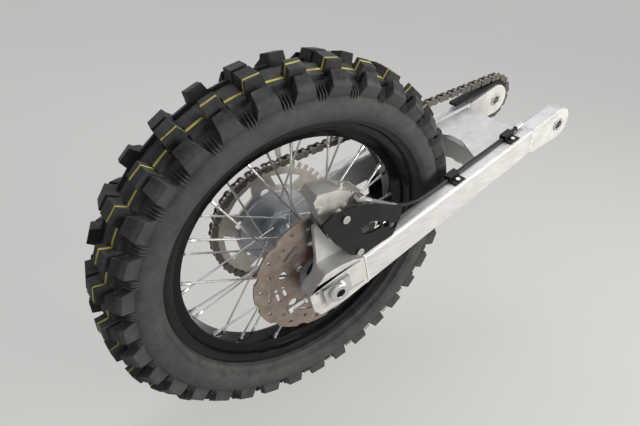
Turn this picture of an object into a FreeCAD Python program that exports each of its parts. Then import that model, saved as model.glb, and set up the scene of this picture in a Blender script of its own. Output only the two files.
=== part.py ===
"""Rear wheel and swingarm of an off-road motorcycle.

The arm is held at its pivot, which is the origin. X points forward, Y to the left and Z up.
Every piece is drawn with its own X along the arm from the wheel's axle towards the pivot,
and one placement turns it down by the arm's droop and carries it to the axle.
Lengths are in millimetres and angles in degrees.
"""

import FreeCAD, Part
import math
import os
import re

import Sketcher
from FreeCAD import Placement, Rotation, Vector

# Each size: its name and its value.
SIZES = (
    # The whole arm and the small gaps
    ("arm_length", 585.0),
    ("arm_droop", 18.0),
    ("seat_gap", 0.3),
    ("fit_gap", 0.05),
    ("turning_gap", 5.5),
    ("cut_spare", 1.0),
    # Tyre
    ("tyre_height", 93.0),
    ("tyre_rows", 34),
    ("knob_height", 17.0),
    ("knob_taper", 3.0),
    ("knob_root", 3.0),
    ("bead_gap", 1.3),
    ("bead_lip", 1.2),
    # Rim, 18 inch
    ("rim_radius", 241.5),
    ("rim_half_width", 34.0),
    ("rim_wall", 3.5),
    ("rim_well_depth", 27.5),
    ("rim_well_half_width", 13.0),
    ("bead_depth", 10.5),
    ("rim_lip_thickness", 5.6),
    ("rim_flare", 5.0),
    ("bead_land", 9.5),
    ("well_slope", 6.0),
    ("bead_rise", 1.0),
    # Hub
    ("hub_barrel_radius", 27.0),
    ("flange_radius", 46.0),
    ("flange_thickness", 3.6),
    ("flange_place", 31.0),
    ("hub_bore_radius", 19.0),
    ("disc_mount_radius", 56.0),
    ("disc_mount_length", 9.0),
    ("sprocket_mount_radius", 74.0),
    ("sprocket_mount_length", 9.0),
    ("bearing_outer_radius", 23.5),
    ("bearing_width", 12.0),
    ("bearing_place", 33.0),
    ("hub_shoulder", 3.0),
    ("hub_waist", 14.0),
    ("hub_root_rise", 4.0),
    ("gear_cone_length", 8.0),
    ("gear_cone_wall", 12.0),
    ("gear_neck_wall", 8.0),
    ("disc_cone_length", 6.0),
    ("disc_cone_wall", 7.0),
    ("disc_neck_wall", 6.0),
    # Spokes
    ("spoke_count", 36),
    ("spoke_radius", 2.0),
    ("spoke_hole_radius", 41.5),
    ("spoke_sweep_angle", 50.0),
    ("spoke_outer_gap", 1.1),
    ("spoke_inner_gap", 0.6),
    ("nipple_sink", 1.0),
    ("spoke_rim_near", 5.0),
    ("spoke_rim_step", 8.0),
    ("nipple_radius", 3.4),
    ("nipple_length", 15.0),
    # Sprocket and chain
    ("chain_line", 80.0),
    ("chain_pitch", 15.875),
    ("tooth_count", 48),
    ("tooth_rise", 4.6),
    ("tooth_gap_depth", 5.4),
    ("tooth_gap_root", 9.2),
    ("tooth_gap_mouth", 11.4),
    ("sprocket_thickness", 5.8),
    ("sprocket_bore_radius", 54.0),
    ("sprocket_bolts", 6),
    ("sprocket_bolt_circle", 65.0),
    ("sprocket_window_low", 82.0),
    ("sprocket_window_high", 104.0),
    ("sprocket_window_low_angle", 13.0),
    ("sprocket_window_high_angle", 19.0),
    ("sprocket_hole_circle", 73.0),
    ("sprocket_hole_radius", 9.0),
    ("chain_front_radius", 47.0),
    ("inner_plate_height", 9.2),
    ("outer_plate_height", 13.4),
    ("link_plate", 2.0),
    ("roller_half_length", 4.0),
    ("plate_overhang", 6.5),
    ("tooth_side_gap", 0.4),
    # Brake disc
    ("disc_radius", 120.0),
    ("disc_thickness", 4.0),
    ("disc_place", 75.0),
    ("disc_bore_radius", 38.0),
    ("disc_track_width", 31.0),
    ("disc_sectors", 6),
    ("disc_eye_inset", 50.0),
    ("disc_eye_radius", 8.5),
    ("disc_slot_near_inset", 54.0),
    ("disc_slot_far_inset", 41.0),
    ("disc_slot_width", 5.5),
    ("disc_slot_angle", 11.0),
    ("disc_slot_place_angle", 30.0),
    ("disc_petals", 12),
    ("petal_radius", 15.0),
    ("petal_depth", 4.5),
    ("disc_hole_radius", 3.4),
    ("disc_hole_near_inset", 23.0),
    ("disc_hole_far_inset", 12.0),
    ("disc_hole_offset_angle", 15.0),
    ("disc_bolts", 4),
    ("disc_bolt_circle", 46.0),
    ("small_bolt_radius", 4.0),
    ("small_head_radius", 6.5),
    ("small_head_height", 5.0),
    # Axle
    ("axle_radius", 12.5),
    ("axle_bore_radius", 8.0),
    ("axle_head_radius", 18.0),
    ("axle_head_length", 7.0),
    ("axle_nut_flats", 32.0),
    ("axle_nut_length", 14.0),
    ("axle_thread_spare", 4.0),
    ("axle_head_edge", 2.0),
    ("collar_radius", 16.5),
    # Arm beams
    ("beam_outer_rear", 125.0),
    ("beam_outer_front", 92.0),
    ("beam_width", 28.0),
    ("beam_top", 26.0),
    ("beam_low_rear", 40.0),
    ("beam_low_front", 31.0),
    ("beam_rear", 62.0),
    ("pivot_end_length", 80.0),
    ("beam_chamfer", 4.0),
    ("edge_round", 5.0),
    # Pivot and cross member
    ("boss_radius", 34.0),
    ("pivot_sleeve_radius", 13.0),
    ("pivot_bore_radius", 8.5),
    ("sleeve_overhang", 2.0),
    ("cross_rear_gap", 55.5),
    ("cross_wing_gap", 33.5),
    ("cross_front_gap", 85.0),
    ("cross_hollow_half", 26.0),
    ("cross_edge", 6.0),
    ("cross_top", 22.0),
    ("cross_low", 34.0),
    ("lug_shift", 5.0),
    ("lug_drop", 62.0),
    ("lug_radius", 15.0),
    ("lug_bore_radius", 6.0),
    ("lug_thickness", 14.0),
    ("lug_spread", 40.0),
    # Axle ends, blocks and adjusters
    ("slot_half_length", 24.0),
    ("slot_half_height", 13.0),
    ("end_front_low", 38.0),
    ("end_front_high", 25.0),
    ("ridge_depth", 2.5),
    ("ridge_rear", -30.0),
    ("ridge_front", 54.0),
    ("ridge_high", 23.0),
    ("ridge_low", -23.0),
    ("ridge_width", 5.0),
    ("end_hole_x", -33.0),
    ("end_hole_z", 14.0),
    ("end_hole_radius", 3.4),
    ("block_half_length", 25.0),
    ("block_half_height", 18.0),
    ("block_plate", 7.0),
    ("tongue_half_length", 18.0),
    ("tongue_depth", 18.0),
    ("adjuster_radius", 4.0),
    ("adjuster_length", 58.0),
    ("adjuster_head_flats", 13.0),
    ("adjuster_head_height", 6.0),
    ("adjuster_nut_height", 6.5),
    # Caliper, bracket and guard
    ("bracket_thickness", 8.0),
    ("bracket_ring_radius", 26.0),
    ("bracket_eye_x", 98.0),
    ("bracket_eye_z", 57.0),
    ("bracket_eye_radius", 10.0),
    ("pin_head_radius", 6.5),
    ("pin_head_height", 7.0),
    ("caliper_angle", 66.0),
    ("caliper_half_angle", 16.0),
    ("caliper_below_disc", 30.0),
    ("caliper_body_depth", 20.0),
    ("caliper_bridge_depth", 13.0),
    ("caliper_bridge_height", 14.0),
    ("caliper_inboard_depth", 6.0),
    ("caliper_fin_width", 3.0),
    ("caliper_fin_depth", 2.5),
    ("caliper_fins", 3),
    ("caliper_slot_gap", 3.5),
    ("piston_radius", 17.0),
    ("piston_x", 42.0),
    ("piston_z", 92.0),
    ("piston_boss_depth", 9.0),
    ("pad_pin_radius", 5.0),
    ("pad_pin_depth", 4.0),
    ("pad_pin_share", 0.85),
    ("bleed_radius", 3.5),
    ("bleed_length", 13.0),
    ("pad_gap", 0.8),
    ("pad_inset", 2.0),
    ("pad_angle", 12.0),
    ("guard_thickness", 4.0),
    ("guard_inset", 3.0),
    ("guard_bolt_radius", 3.6),
    ("guard_post_radius", 6.5),
    ("guard_head_radius", 6.5),
    ("guard_head_height", 3.5),
    ("guard_low_x", 56.0),
    ("guard_low_z", 42.0),
    ("guard_high_x", 42.0),
    ("guard_high_z", 122.0),
    # Hose and clips
    ("hose_radius", 3.6),
    ("hose_arc_share", 0.45),
    ("hose_inset", 24.0),
    ("banjo_radius", 8.0),
    ("banjo_height", 12.0),
    ("banjo_reach", 4.8),
    ("ferrule_radius", 5.5),
    ("ferrule_length", 18.0),
    ("clip_length", 26.0),
    ("clip_wall", 3.0),
    ("clip_foot", 14.0),
    ("clip_head_space", 1.5),
    ("clip_overlap", 0.5),
    ("clip_screw_height", 3.0),
    ("clip_rear_place", 294.0),
    ("clip_front_gap", 53.0),
    # Chain slider and guide
    ("slider_overlap", 120.0),
    ("slider_width", 20.0),
    ("guide_length", 70.0),
    ("guide_place", 250.0),
    ("guide_wall", 6.0),
    ("guide_gap", 1.0),
    ("guide_hanger_half", 20.0),
    # Small pieces of the wheel
    ("valve_radius", 4.0),
    ("valve_length", 34.0),
    ("valve_angle", 185.0),
    ("rim_lock_radius", 4.0),
    ("rim_lock_length", 24.0),
    ("rim_lock_nut_flats", 12.0),
    ("rim_lock_nut_height", 8.0),
    ("rim_lock_angle", 5.0),
)

# Corners of the outlines: piece, corner, forward of the axle, above the axle.
CORNERS = (
    ("ending", "rear_low", -46.0, -20.0),
    ("ending", "heel", -36.0, -40.0),
    ("ending", "sole", 12.0, -43.0),
    ("ending", "step", 54.0, -37.0),
    ("ending", "shoulder", 42.0, 35.0),
    ("ending", "crown", 14.0, 42.0),
    ("ending", "crown_rear", -12.0, 42.0),
    ("ending", "rear_high", -46.0, 16.0),
    ("guard", "tip", 2.0, 133.0),
    ("guard", "top_rear", 24.0, 141.0),
    ("guard", "top_mid", 76.0, 129.0),
    ("guard", "top_front", 147.0, 78.0),
    ("guard", "nose", 140.0, 56.0),
    ("guard", "sole_front", 122.0, 30.0),
    ("guard", "sole_rear", 62.0, 30.0),
    ("guard", "heel", 40.0, 44.0),
    ("guard", "back", 18.0, 86.0),
    ("guard_eye", "rear_high", 66.0, 86.0),
    ("guard_eye", "top", 84.0, 88.0),
    ("guard_eye", "front_high", 101.0, 77.0),
    ("guard_eye", "front_low", 101.0, 62.0),
    ("guard_eye", "sole", 80.0, 64.0),
    ("guard_eye", "rear_low", 66.0, 72.0),
    ("guard_gap", "rear_high", 107.0, 74.0),
    ("guard_gap", "front_high", 117.0, 68.0),
    ("guard_gap", "front_low", 115.0, 55.0),
    ("guard_gap", "rear_low", 107.0, 59.0),
    ("guard_slot", "rear_high", 121.0, 58.0),
    ("guard_slot", "front_high", 133.0, 53.0),
    ("guard_slot", "front_low", 128.0, 44.0),
    ("guard_slot", "rear_low", 119.0, 46.0),
    ("bracket", "heel", -22.0, 10.0),
    ("bracket", "sole", 24.0, -2.0),
    ("bracket", "step", 46.0, 29.5),
    ("bracket", "arm_low", 96.0, 45.0),
    ("bracket", "arm_end", 107.0, 57.0),
    ("bracket", "arm_high", 98.0, 68.0),
    ("bracket", "inside", 68.0, 56.0),
    ("bracket", "shelf", 19.0, 79.0),
    ("bracket", "finger", 8.0, 114.0),
    ("bracket", "tip", 1.0, 113.0),
    ("bracket", "back", -8.0, 50.0),
    ("caliper", "rear_low", 23.0, 85.0),
    ("caliper", "rear", 12.0, 119.0),
    ("caliper", "rear_high", 9.0, 160.0),
    ("caliper", "top_rear", 17.0, 169.0),
    ("caliper", "top_front", 53.0, 158.0),
    ("caliper", "front_high", 66.0, 146.0),
    ("caliper", "nose_high", 91.0, 131.0),
    ("caliper", "nose", 92.0, 112.0),
    ("caliper", "front_low", 66.0, 64.0),
)

# Half of the tyre casing's section: point, place across the tread, depth below the crown.
CASING = (
    ("crown", 0.0, 0.0),
    ("crown_edge", 42.0, 14.0),
    ("shoulder", 57.0, 30.0),
    ("belly", 60.0, 50.0),
)

# Blocks of the tread: column, inner and outer place across, outer place of its foot, share of the
# row's length, drop of its top at the inner and at the outer side, first row, every how many rows.
BLOCKS = (
    ("centre", 1.5, 33.0, 33.0, 0.58, 0.4, 4.4, 0, 2),
    ("middle", 16.0, 41.0, 41.0, 0.58, 1.4, 7.5, 1, 2),
    ("edge", 43.0, 62.5, 55.0, 0.64, 14.0, 32.0, 0, 1),
)

# Route of the brake hose: point, forward of the axle, to the right of the wheel's middle, above the axle.
HOSE_ROUTE = (
    ("start", 96.0, 107.0, 114.0),
    ("fall", 115.0, 105.0, 97.0),
    ("bow", 147.0, 99.5, 66.0),
    ("foot", 176.0, 94.0, 45.0),
    ("landing", 208.0, 90.3, 33.0),
    ("rear_clip", 268.0, 86.0, 30.2),
    ("middle", 345.0, 79.6, 31.0),
    ("front_clip", 425.0, 74.2, 30.2),
    ("end", 480.0, 69.6, 33.0),
)

# Sizes that follow from others: name and formula.
DERIVED = (
    ("tyre_radius", "rim_radius + tyre_height"),
    ("rim_well_radius", "rim_radius - rim_well_depth"),
    ("bead_seat_radius", "rim_radius - bead_depth"),
    ("caliper_inner_radius", "disc_radius - caliper_below_disc"),
    ("disc_eye_circle", "disc_radius - disc_eye_inset"),
    ("disc_slot_near", "disc_radius - disc_slot_near_inset"),
    ("disc_slot_far", "disc_radius - disc_slot_far_inset"),
    ("disc_hole_near", "disc_radius - disc_hole_near_inset"),
    ("disc_hole_far", "disc_radius - disc_hole_far_inset"),
    ("beam_front", "arm_length - pivot_end_length"),
    ("cross_rear", "tyre_radius + cross_rear_gap"),
    ("cross_wing", "tyre_radius + cross_wing_gap"),
    ("cross_front", "arm_length - cross_front_gap"),
    ("lug_place", "(cross_rear + cross_front) / 2 - lug_shift"),
    ("clip_front_place", "beam_front - clip_front_gap"),
)


def table_rows():
    """Every named number of the tables as name and value."""
    rows = list(SIZES)
    for piece, corner, forward, above in CORNERS:
        rows += [(piece + "_" + corner + "_x", forward), (piece + "_" + corner + "_z", above)]
    for point, across, depth in CASING:
        rows += [("casing_" + point + "_across", across), ("casing_" + point + "_depth", depth)]
    for column, inner, outer, foot, share, inner_drop, outer_drop, first, every in BLOCKS:
        rows += [(column + "_block_inner", inner), (column + "_block_outer", outer),
                 (column + "_block_foot", foot), (column + "_block_inner_drop", inner_drop),
                 (column + "_block_outer_drop", outer_drop)]
    for point, forward, right, above in HOSE_ROUTE:
        rows += [("hose_" + point + "_x", forward), ("hose_" + point + "_y", right),
                 ("hose_" + point + "_z", above)]
    return rows


ALIASES = {name for name, number in table_rows()} | {name for name, formula in DERIVED}

doc = FreeCAD.newDocument("RearWheelAndSwingarm")
sheet = doc.addObject("Spreadsheet::Sheet", "dims")
nodes = []


def fill_sheet():
    """Write every named size into the sheet, one row each."""
    rows = [(name, str(number)) for name, number in table_rows()]
    rows += [(name, "=" + formula) for name, formula in DERIVED]
    for row, (name, content) in enumerate(rows, start=1):
        sheet.set("A%d" % row, name)
        sheet.set("B%d" % row, content)
        sheet.setAlias("B%d" % row, name)
    doc.recompute()


def size(name):
    """Value of one named size, read from the sheet."""
    return float(sheet.get(name))


def bound(text):
    """Spell the names in a formula as cells of the sheet."""
    def cell(match):
        word = match.group(0)
        return "dims." + word if word in ALIASES else word
    return re.sub(r"[a-z][a-z0-9_]*", cell, str(text))


def outline(piece):
    """Corners of one named outline as pairs of formulas."""
    return [(p + "_" + c + "_x", p + "_" + c + "_z") for p, c, forward, above in CORNERS if p == piece]


def corner_points(piece, left=0.0):
    """Corners of one named outline as points at a place along Y."""
    return [Vector(size(x), left, size(z)) for x, z in outline(piece)]


def polar(radius, angle):
    """Pair of formulas for a place round the axle, its angle in degrees from the top."""
    return "(%s) * sin(%s)" % (radius, angle), "(%s) * cos(%s)" % (radius, angle)


def seat(thing):
    """Turn a piece by the arm's droop and carry it from the axle to the arm's frame."""
    thing.Placement = Placement(Vector(0, 0, 0), Rotation(Vector(0, -1, 0), 1.0))
    thing.setExpression("Placement.Rotation.Angle", bound("arm_droop"))
    thing.setExpression("Placement.Base.x", bound("-arm_length * cos(arm_droop)"))
    thing.setExpression("Placement.Base.z", bound("-arm_length * sin(arm_droop)"))


def new_body(label):
    """One piece as a body, seated in the arm's frame."""
    body = doc.addObject("PartDesign::Body", label)
    body.Label = label
    seat(body)
    nodes.append(body)
    return body


def new_feature(label, shape):
    """One piece whose shape is worked out in code, seated in the arm's frame."""
    feature = doc.addObject("Part::Feature", label)
    feature.Label = label
    feature.Shape = shape
    seat(feature)
    nodes.append(feature)
    return feature


def origin_of(body, role):
    """Origin plane or axis of a body by its role."""
    return [f for f in body.Origin.OriginFeatures if f.Role == role][0]


def new_sketch(body, name, plane, offset="0"):
    """Empty sketch on one of the body's own planes, moved along the plane's normal."""
    sketch = body.newObject("Sketcher::SketchObject", name)
    sketch.AttachmentSupport = [(origin_of(body, plane), "")]
    sketch.MapMode = "FlatFace"
    sketch.setExpression("AttachmentOffset.Base.z", bound(offset))
    return sketch


def add_loop(sketch, corners):
    """Closed loop of straight lines whose corners follow formulas."""
    first = sketch.GeometryCount
    count = len(corners)
    turn = 2.0 * math.pi / count
    start = [Vector(10.0 * math.cos(turn * i), 10.0 * math.sin(turn * i), 0) for i in range(count)]
    lines = [Part.LineSegment(start[i], start[(i + 1) % count]) for i in range(count)]
    sketch.addGeometry(lines, False)
    joints = [Sketcher.Constraint("Coincident", first + i, 2, first + (i + 1) % count, 1)
              for i in range(count)]
    sketch.addConstraint(joints)
    for i, (across, up) in enumerate(corners):
        for kind, formula, value in (("DistanceX", across, start[i].x), ("DistanceY", up, start[i].y)):
            index = sketch.addConstraint(Sketcher.Constraint(kind, -1, 1, first + i, 1, value))
            sketch.setExpression("Constraints[%d]" % index, bound(formula))


def add_circle(sketch, across, up, radius):
    """Circle whose centre and radius follow formulas."""
    index = sketch.GeometryCount
    sketch.addGeometry(Part.Circle(Vector(10, 10, 0), Vector(0, 0, 1), 5.0), False)
    rules = (("DistanceX", across), ("DistanceY", up))
    for kind, formula in rules:
        place = sketch.addConstraint(Sketcher.Constraint(kind, -1, 1, index, 3, 10.0))
        sketch.setExpression("Constraints[%d]" % place, bound(formula))
    place = sketch.addConstraint(Sketcher.Constraint("Radius", index, 5.0))
    sketch.setExpression("Constraints[%d]" % place, bound(radius))


def pad(body, name, sketch, length):
    """Pad along the sketch plane's normal: towards -Y from XZ, +Z from XY and +X from YZ."""
    feature = body.newObject("PartDesign::Pad", name)
    feature.Profile = sketch
    feature.setExpression("Length", bound(length))
    body.Tip = feature
    return feature


def pocket_through(body, name, sketch):
    """Pocket right through the body, both ways from the sketch."""
    feature = body.newObject("PartDesign::Pocket", name)
    feature.Profile = sketch
    feature.Type = "ThroughAll"
    feature.Midplane = True
    body.Tip = feature
    return feature


def pocket_down(body, name, sketch, depth, reverse=True):
    """Blind pocket along the sketch plane's normal, or against it."""
    feature = body.newObject("PartDesign::Pocket", name)
    feature.Profile = sketch
    feature.Reversed = reverse
    feature.setExpression("Length", bound(depth))
    body.Tip = feature
    return feature


def slab(body, name, corners, left, thickness):
    """Straight-sided plate seen along Y: its left face at the formula left, its thickness to the right."""
    sketch = new_sketch(body, name + "_outline", "XZ_Plane", "-(" + str(left) + ")")
    add_loop(sketch, corners)
    return pad(body, name, sketch, thickness)


def round_slab(body, name, across, up, radius, left, thickness):
    """Round plate seen along Y."""
    sketch = new_sketch(body, name + "_outline", "XZ_Plane", "-(" + str(left) + ")")
    add_circle(sketch, across, up, radius)
    return pad(body, name, sketch, thickness)


def bore(body, name, circles):
    """Round holes along Y right through the body: each across, up and radius."""
    sketch = new_sketch(body, name + "_circles", "XZ_Plane")
    for across, up, radius in circles:
        add_circle(sketch, across, up, radius)
    return pocket_through(body, name, sketch)


def ring_pattern(body, name, features, count):
    """Repeat features round the body's Y axis."""
    pattern = body.newObject("PartDesign::PolarPattern", name)
    pattern.Originals = features
    pattern.Axis = (origin_of(body, "Y_Axis"), [""])
    pattern.Angle = 360
    pattern.setExpression("Occurrences", bound(count))
    body.Tip = pattern
    return pattern


def revolve(body, name, corners):
    """Solid of revolution about Y from corners given as place along Y and radius."""
    sketch = new_sketch(body, name + "_profile", "YZ_Plane")
    add_loop(sketch, corners)
    feature = body.newObject("PartDesign::Revolution", name)
    feature.Profile = sketch
    feature.ReferenceAxis = (sketch, ["H_Axis"])
    feature.Angle = 360
    body.Tip = feature
    return feature


def edges_along(shape, direction, test=None):
    """Names of a shape's straight edges along one direction that pass a test on their middle."""
    names = []
    for number, edge in enumerate(shape.Edges, start=1):
        if len(edge.Vertexes) != 2 or edge.Curve.TypeId != "Part::GeomLine":
            continue
        line = (edge.Vertexes[1].Point - edge.Vertexes[0].Point).normalize()
        if abs(abs(line.dot(direction)) - 1.0) > 1e-6:
            continue
        if test is None or test(edge.CenterOfMass):
            names.append("Edge%d" % number)
    return names


def soften(body, name, radius, direction, test=None, kind="PartDesign::Fillet"):
    """Round or chamfer the straight edges of the tip that run along one direction."""
    doc.recompute()
    base = body.Tip
    names = edges_along(base.Shape, direction, test)
    feature = body.newObject(kind, name)
    feature.Base = (base, names)
    feature.setExpression("Radius" if kind.endswith("Fillet") else "Size", bound(radius))
    body.Tip = feature
    return feature


ALONG_Y = Vector(0, 1, 0)


def spun(shape, degrees):
    """Copy of a shape turned about Y."""
    copy = shape.copy()
    copy.rotate(Vector(0, 0, 0), Vector(0, 1, 0), degrees)
    return copy


def rod(start, end, radius, sides=6):
    """Straight rod with a few flat sides between two points."""
    axis = end.sub(start)
    length = axis.Length
    axis.normalize()
    helper = Vector(0, 1, 0) if abs(axis.y) < 0.9 else Vector(1, 0, 0)
    side = axis.cross(helper).normalize()
    other = axis.cross(side)
    ring = []
    for i in range(sides):
        turn = 2.0 * math.pi * (i + 0.5) / sides
        ring.append(start + side * (radius * math.cos(turn)) + other * (radius * math.sin(turn)))
    ring.append(ring[0])
    return Part.Face(Part.makePolygon(ring)).extrude(axis * length)


def block(low, high):
    """Box between two corners."""
    return Part.makeBox(high.x - low.x, high.y - low.y, high.z - low.z, low)


# Wheel

def flat_middle(radius):
    """Radius of the corners of a ring of flats whose middles lie at a radius."""
    return radius / math.cos(math.pi / size("tyre_rows"))


def casing_profile():
    """Closed section of the tyre's casing as places across and radii, from the left bead round."""
    crown = size("tyre_radius") - size("knob_height")
    bead = size("rim_half_width") - size("rim_wall") - size("bead_gap")
    half = [(size("casing_" + point + "_across"), crown - size("casing_" + point + "_depth"))
            for point, across, depth in CASING]
    half.append((bead, flat_middle(size("rim_radius") + size("bead_lip"))))
    half.append((bead, flat_middle(size("bead_seat_radius") + size("seat_gap"))))
    return list(reversed(half)) + [(-across, radius) for across, radius in half[1:]]


def casing_radius(across):
    """Radius of the casing's outside at a place across the tread."""
    levels = [(size("casing_" + point + "_across"), size("casing_" + point + "_depth"))
              for point, place, depth in CASING]
    for (near, near_depth), (far, far_depth) in zip(levels, levels[1:]):
        if across <= far:
            break
    drop = near_depth + (far_depth - near_depth) * (across - near) / (far - near)
    return size("tyre_radius") - size("knob_height") - drop


def tread_block(column, share, side):
    """One tapered block standing on the casing at the top of the wheel."""
    inner, outer = size(column + "_block_inner"), size(column + "_block_outer")
    foot = size(column + "_block_foot")
    root, taper = size("knob_root"), size("knob_taper")
    crown = size("tyre_radius") - size("knob_height")
    width = crown * math.pi / size("tyre_rows") * share
    low = casing_radius(foot) - root
    places = [
        (inner, casing_radius(inner) - root),
        (foot, low),
        (outer, size("tyre_radius") - size(column + "_block_outer_drop")),
        (inner + taper, size("tyre_radius") - size(column + "_block_inner_drop")),
    ]
    slope = taper / size("knob_height")
    section = [(across, radius, width - slope * (radius - low)) for across, radius in places]
    front = [Vector(half, side * across, radius) for across, radius, half in section]
    back = [Vector(-half, side * across, radius) for across, radius, half in section]
    faces = [front, list(reversed(back))]
    for i in range(len(section)):
        j = (i + 1) % len(section)
        faces.append([front[i], back[i], back[j], front[j]])
    return closed_solid(faces)


def closed_solid(loops):
    """Solid from closed loops of points; a loop that isn't flat becomes triangles."""
    faces = []
    for loop in loops:
        wire = Part.makePolygon(loop + [loop[0]])
        try:
            faces.append(Part.Face(wire))
        except Part.OCCError:
            for i in range(1, len(loop) - 1):
                faces.append(Part.Face(Part.makePolygon([loop[0], loop[i], loop[i + 1], loop[0]])))
    shell = Part.Shell(faces)
    solid = Part.Solid(shell)
    if solid.Volume < 0:
        solid.reverse()
    return solid


def make_tyre():
    """Casing of flats, one flat per tread row, with the blocks fused on."""
    rows = int(size("tyre_rows"))
    pitch = 360.0 / rows
    profile = casing_profile()
    rings = []
    for row in range(rows):
        angle = math.radians(pitch * (row + 0.5))
        rings.append([Vector(r * math.sin(angle), a, r * math.cos(angle)) for a, r in profile])
    faces = []
    for row in range(rows):
        here, there = rings[row], rings[(row + 1) % rows]
        for i in range(len(profile)):
            j = (i + 1) % len(profile)
            faces.append(Part.Face(Part.makePolygon([here[i], here[j], there[j], there[i], here[i]])))
    casing = Part.Solid(Part.Shell(faces))
    if casing.Volume < 0:
        casing.reverse()
    blocks = []
    for column, inner, outer, foot, share, inner_drop, outer_drop, first, every in BLOCKS:
        for side in (-1, 1):
            block_shape = tread_block(column, share, side)
            blocks += [spun(block_shape, pitch * row) for row in range(int(first), rows, int(every))]
    tyre = casing.multiFuse(blocks)
    return new_feature("tyre", tyre.Solids[0] if len(tyre.Solids) == 1 else tyre)


def make_rim():
    """Rolled rim with bead seats and a drop centre."""
    body = new_body("rim")
    lip = "rim_half_width"
    corners = [
        (lip, "rim_radius"),
        (lip, "rim_radius - rim_lip_thickness"),
        (lip + " - rim_flare", "bead_seat_radius - rim_wall"),
        (lip + " - rim_flare - bead_land", "bead_seat_radius - rim_wall - bead_rise"),
        ("rim_well_half_width + well_slope / 2", "rim_well_radius - rim_wall + bead_rise"),
        ("rim_well_half_width - well_slope / 2", "rim_well_radius - rim_wall"),
    ]
    hidden = [
        ("rim_well_half_width", "rim_well_radius + bead_rise"),
        (lip + " - rim_wall - bead_land", "bead_seat_radius - bead_rise"),
        (lip + " - rim_wall - seat_gap", "bead_seat_radius"),
        (lip + " - rim_wall", "rim_radius"),
    ]
    under = [("-(" + across + ")", radius) for across, radius in reversed(corners)]
    over = [("-(" + across + ")", radius) for across, radius in reversed(hidden)]
    revolve(body, "rim_section", corners + under + over + hidden)
    return body


def spoke_ends():
    """Hub end and rim end of every spoke: two per pair and side, crossing each other."""
    per_set = int(size("spoke_count")) // 4
    step = 360.0 / per_set
    flange = size("flange_place") + 0.5 * size("flange_thickness")
    reach = 0.5 * size("flange_thickness") + size("spoke_radius")
    outside = flange + reach + size("spoke_outer_gap")
    inside = flange - reach - size("spoke_inner_gap")
    rim_radius = size("rim_well_radius") - size("rim_wall") - size("seat_gap")
    ends = []
    for side in (-1, 1):
        shift = 0.0 if side < 0 else 0.25 * step
        for lead, hub_y, rim_y in ((1, outside, size("spoke_rim_near") + size("spoke_rim_step")),
                                   (-1, inside, size("spoke_rim_near"))):
            for i in range(per_set):
                hub_angle = math.radians(i * step + shift)
                rim_angle = hub_angle + lead * math.radians(size("spoke_sweep_angle"))
                hub = Vector(size("spoke_hole_radius") * math.sin(hub_angle), side * hub_y,
                             size("spoke_hole_radius") * math.cos(hub_angle))
                rim = Vector(rim_radius * math.sin(rim_angle), side * rim_y, rim_radius * math.cos(rim_angle))
                ends.append((hub, rim))
    return ends


def make_spokes():
    """Laced spokes and their nipples."""
    spokes, nipples = [], []
    for hub, rim in spoke_ends():
        line = rim.sub(hub).normalize()
        bottom = rim - line * size("nipple_length")
        spokes.append(rod(hub, bottom, size("spoke_radius")))
        nipples.append(rod(bottom, rim - line * size("nipple_sink"), size("nipple_radius")))
    new_feature("spokes", Part.makeCompound(spokes))
    new_feature("nipples", Part.makeCompound(nipples))


def make_hub():
    """Turned hub with two spoke flanges and the mounts for disc and sprocket."""
    body = new_body("hub")
    disc_face = "disc_place - disc_thickness / 2 - seat_gap"
    gear_face = "chain_line - sprocket_thickness / 2 - seat_gap"
    inner = "flange_place"
    outer = "flange_place + flange_thickness"
    seal_place = "bearing_place + bearing_width + hub_shoulder"
    corners = [
        (gear_face, "hub_bore_radius + hub_shoulder"),
        (gear_face, "sprocket_mount_radius"),
        (gear_face + " - sprocket_mount_length", "sprocket_mount_radius"),
        (gear_face + " - sprocket_mount_length - gear_cone_length", "bearing_outer_radius + gear_cone_wall"),
        (outer, "bearing_outer_radius + gear_neck_wall"),
        (outer, "flange_radius"),
        (inner, "flange_radius"),
        (inner, "hub_barrel_radius + hub_root_rise"),
        ("flange_place - hub_waist", "hub_barrel_radius"),
        ("-(flange_place - hub_waist)", "hub_barrel_radius"),
        ("-(" + inner + ")", "hub_barrel_radius + hub_root_rise"),
        ("-(" + inner + ")", "flange_radius"),
        ("-(" + outer + ")", "flange_radius"),
        ("-(" + outer + ")", "bearing_outer_radius + disc_neck_wall"),
        ("-(" + disc_face + " - disc_mount_length - disc_cone_length)", "bearing_outer_radius + disc_cone_wall"),
        ("-(" + disc_face + " - disc_mount_length)", "disc_mount_radius"),
        ("-(" + disc_face + ")", "disc_mount_radius"),
        ("-(" + disc_face + ")", "hub_bore_radius + hub_shoulder"),
        ("-(" + seal_place + ")", "hub_bore_radius + hub_shoulder"),
        ("-(" + seal_place + ")", "bearing_outer_radius + fit_gap"),
        ("-(bearing_place)", "bearing_outer_radius + fit_gap"),
        ("-(bearing_place)", "hub_bore_radius"),
        ("bearing_place", "hub_bore_radius"),
        ("bearing_place", "bearing_outer_radius + fit_gap"),
        (seal_place, "bearing_outer_radius + fit_gap"),
        (seal_place, "hub_bore_radius + hub_shoulder"),
    ]
    revolve(body, "hub_section", corners)
    return body


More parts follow.
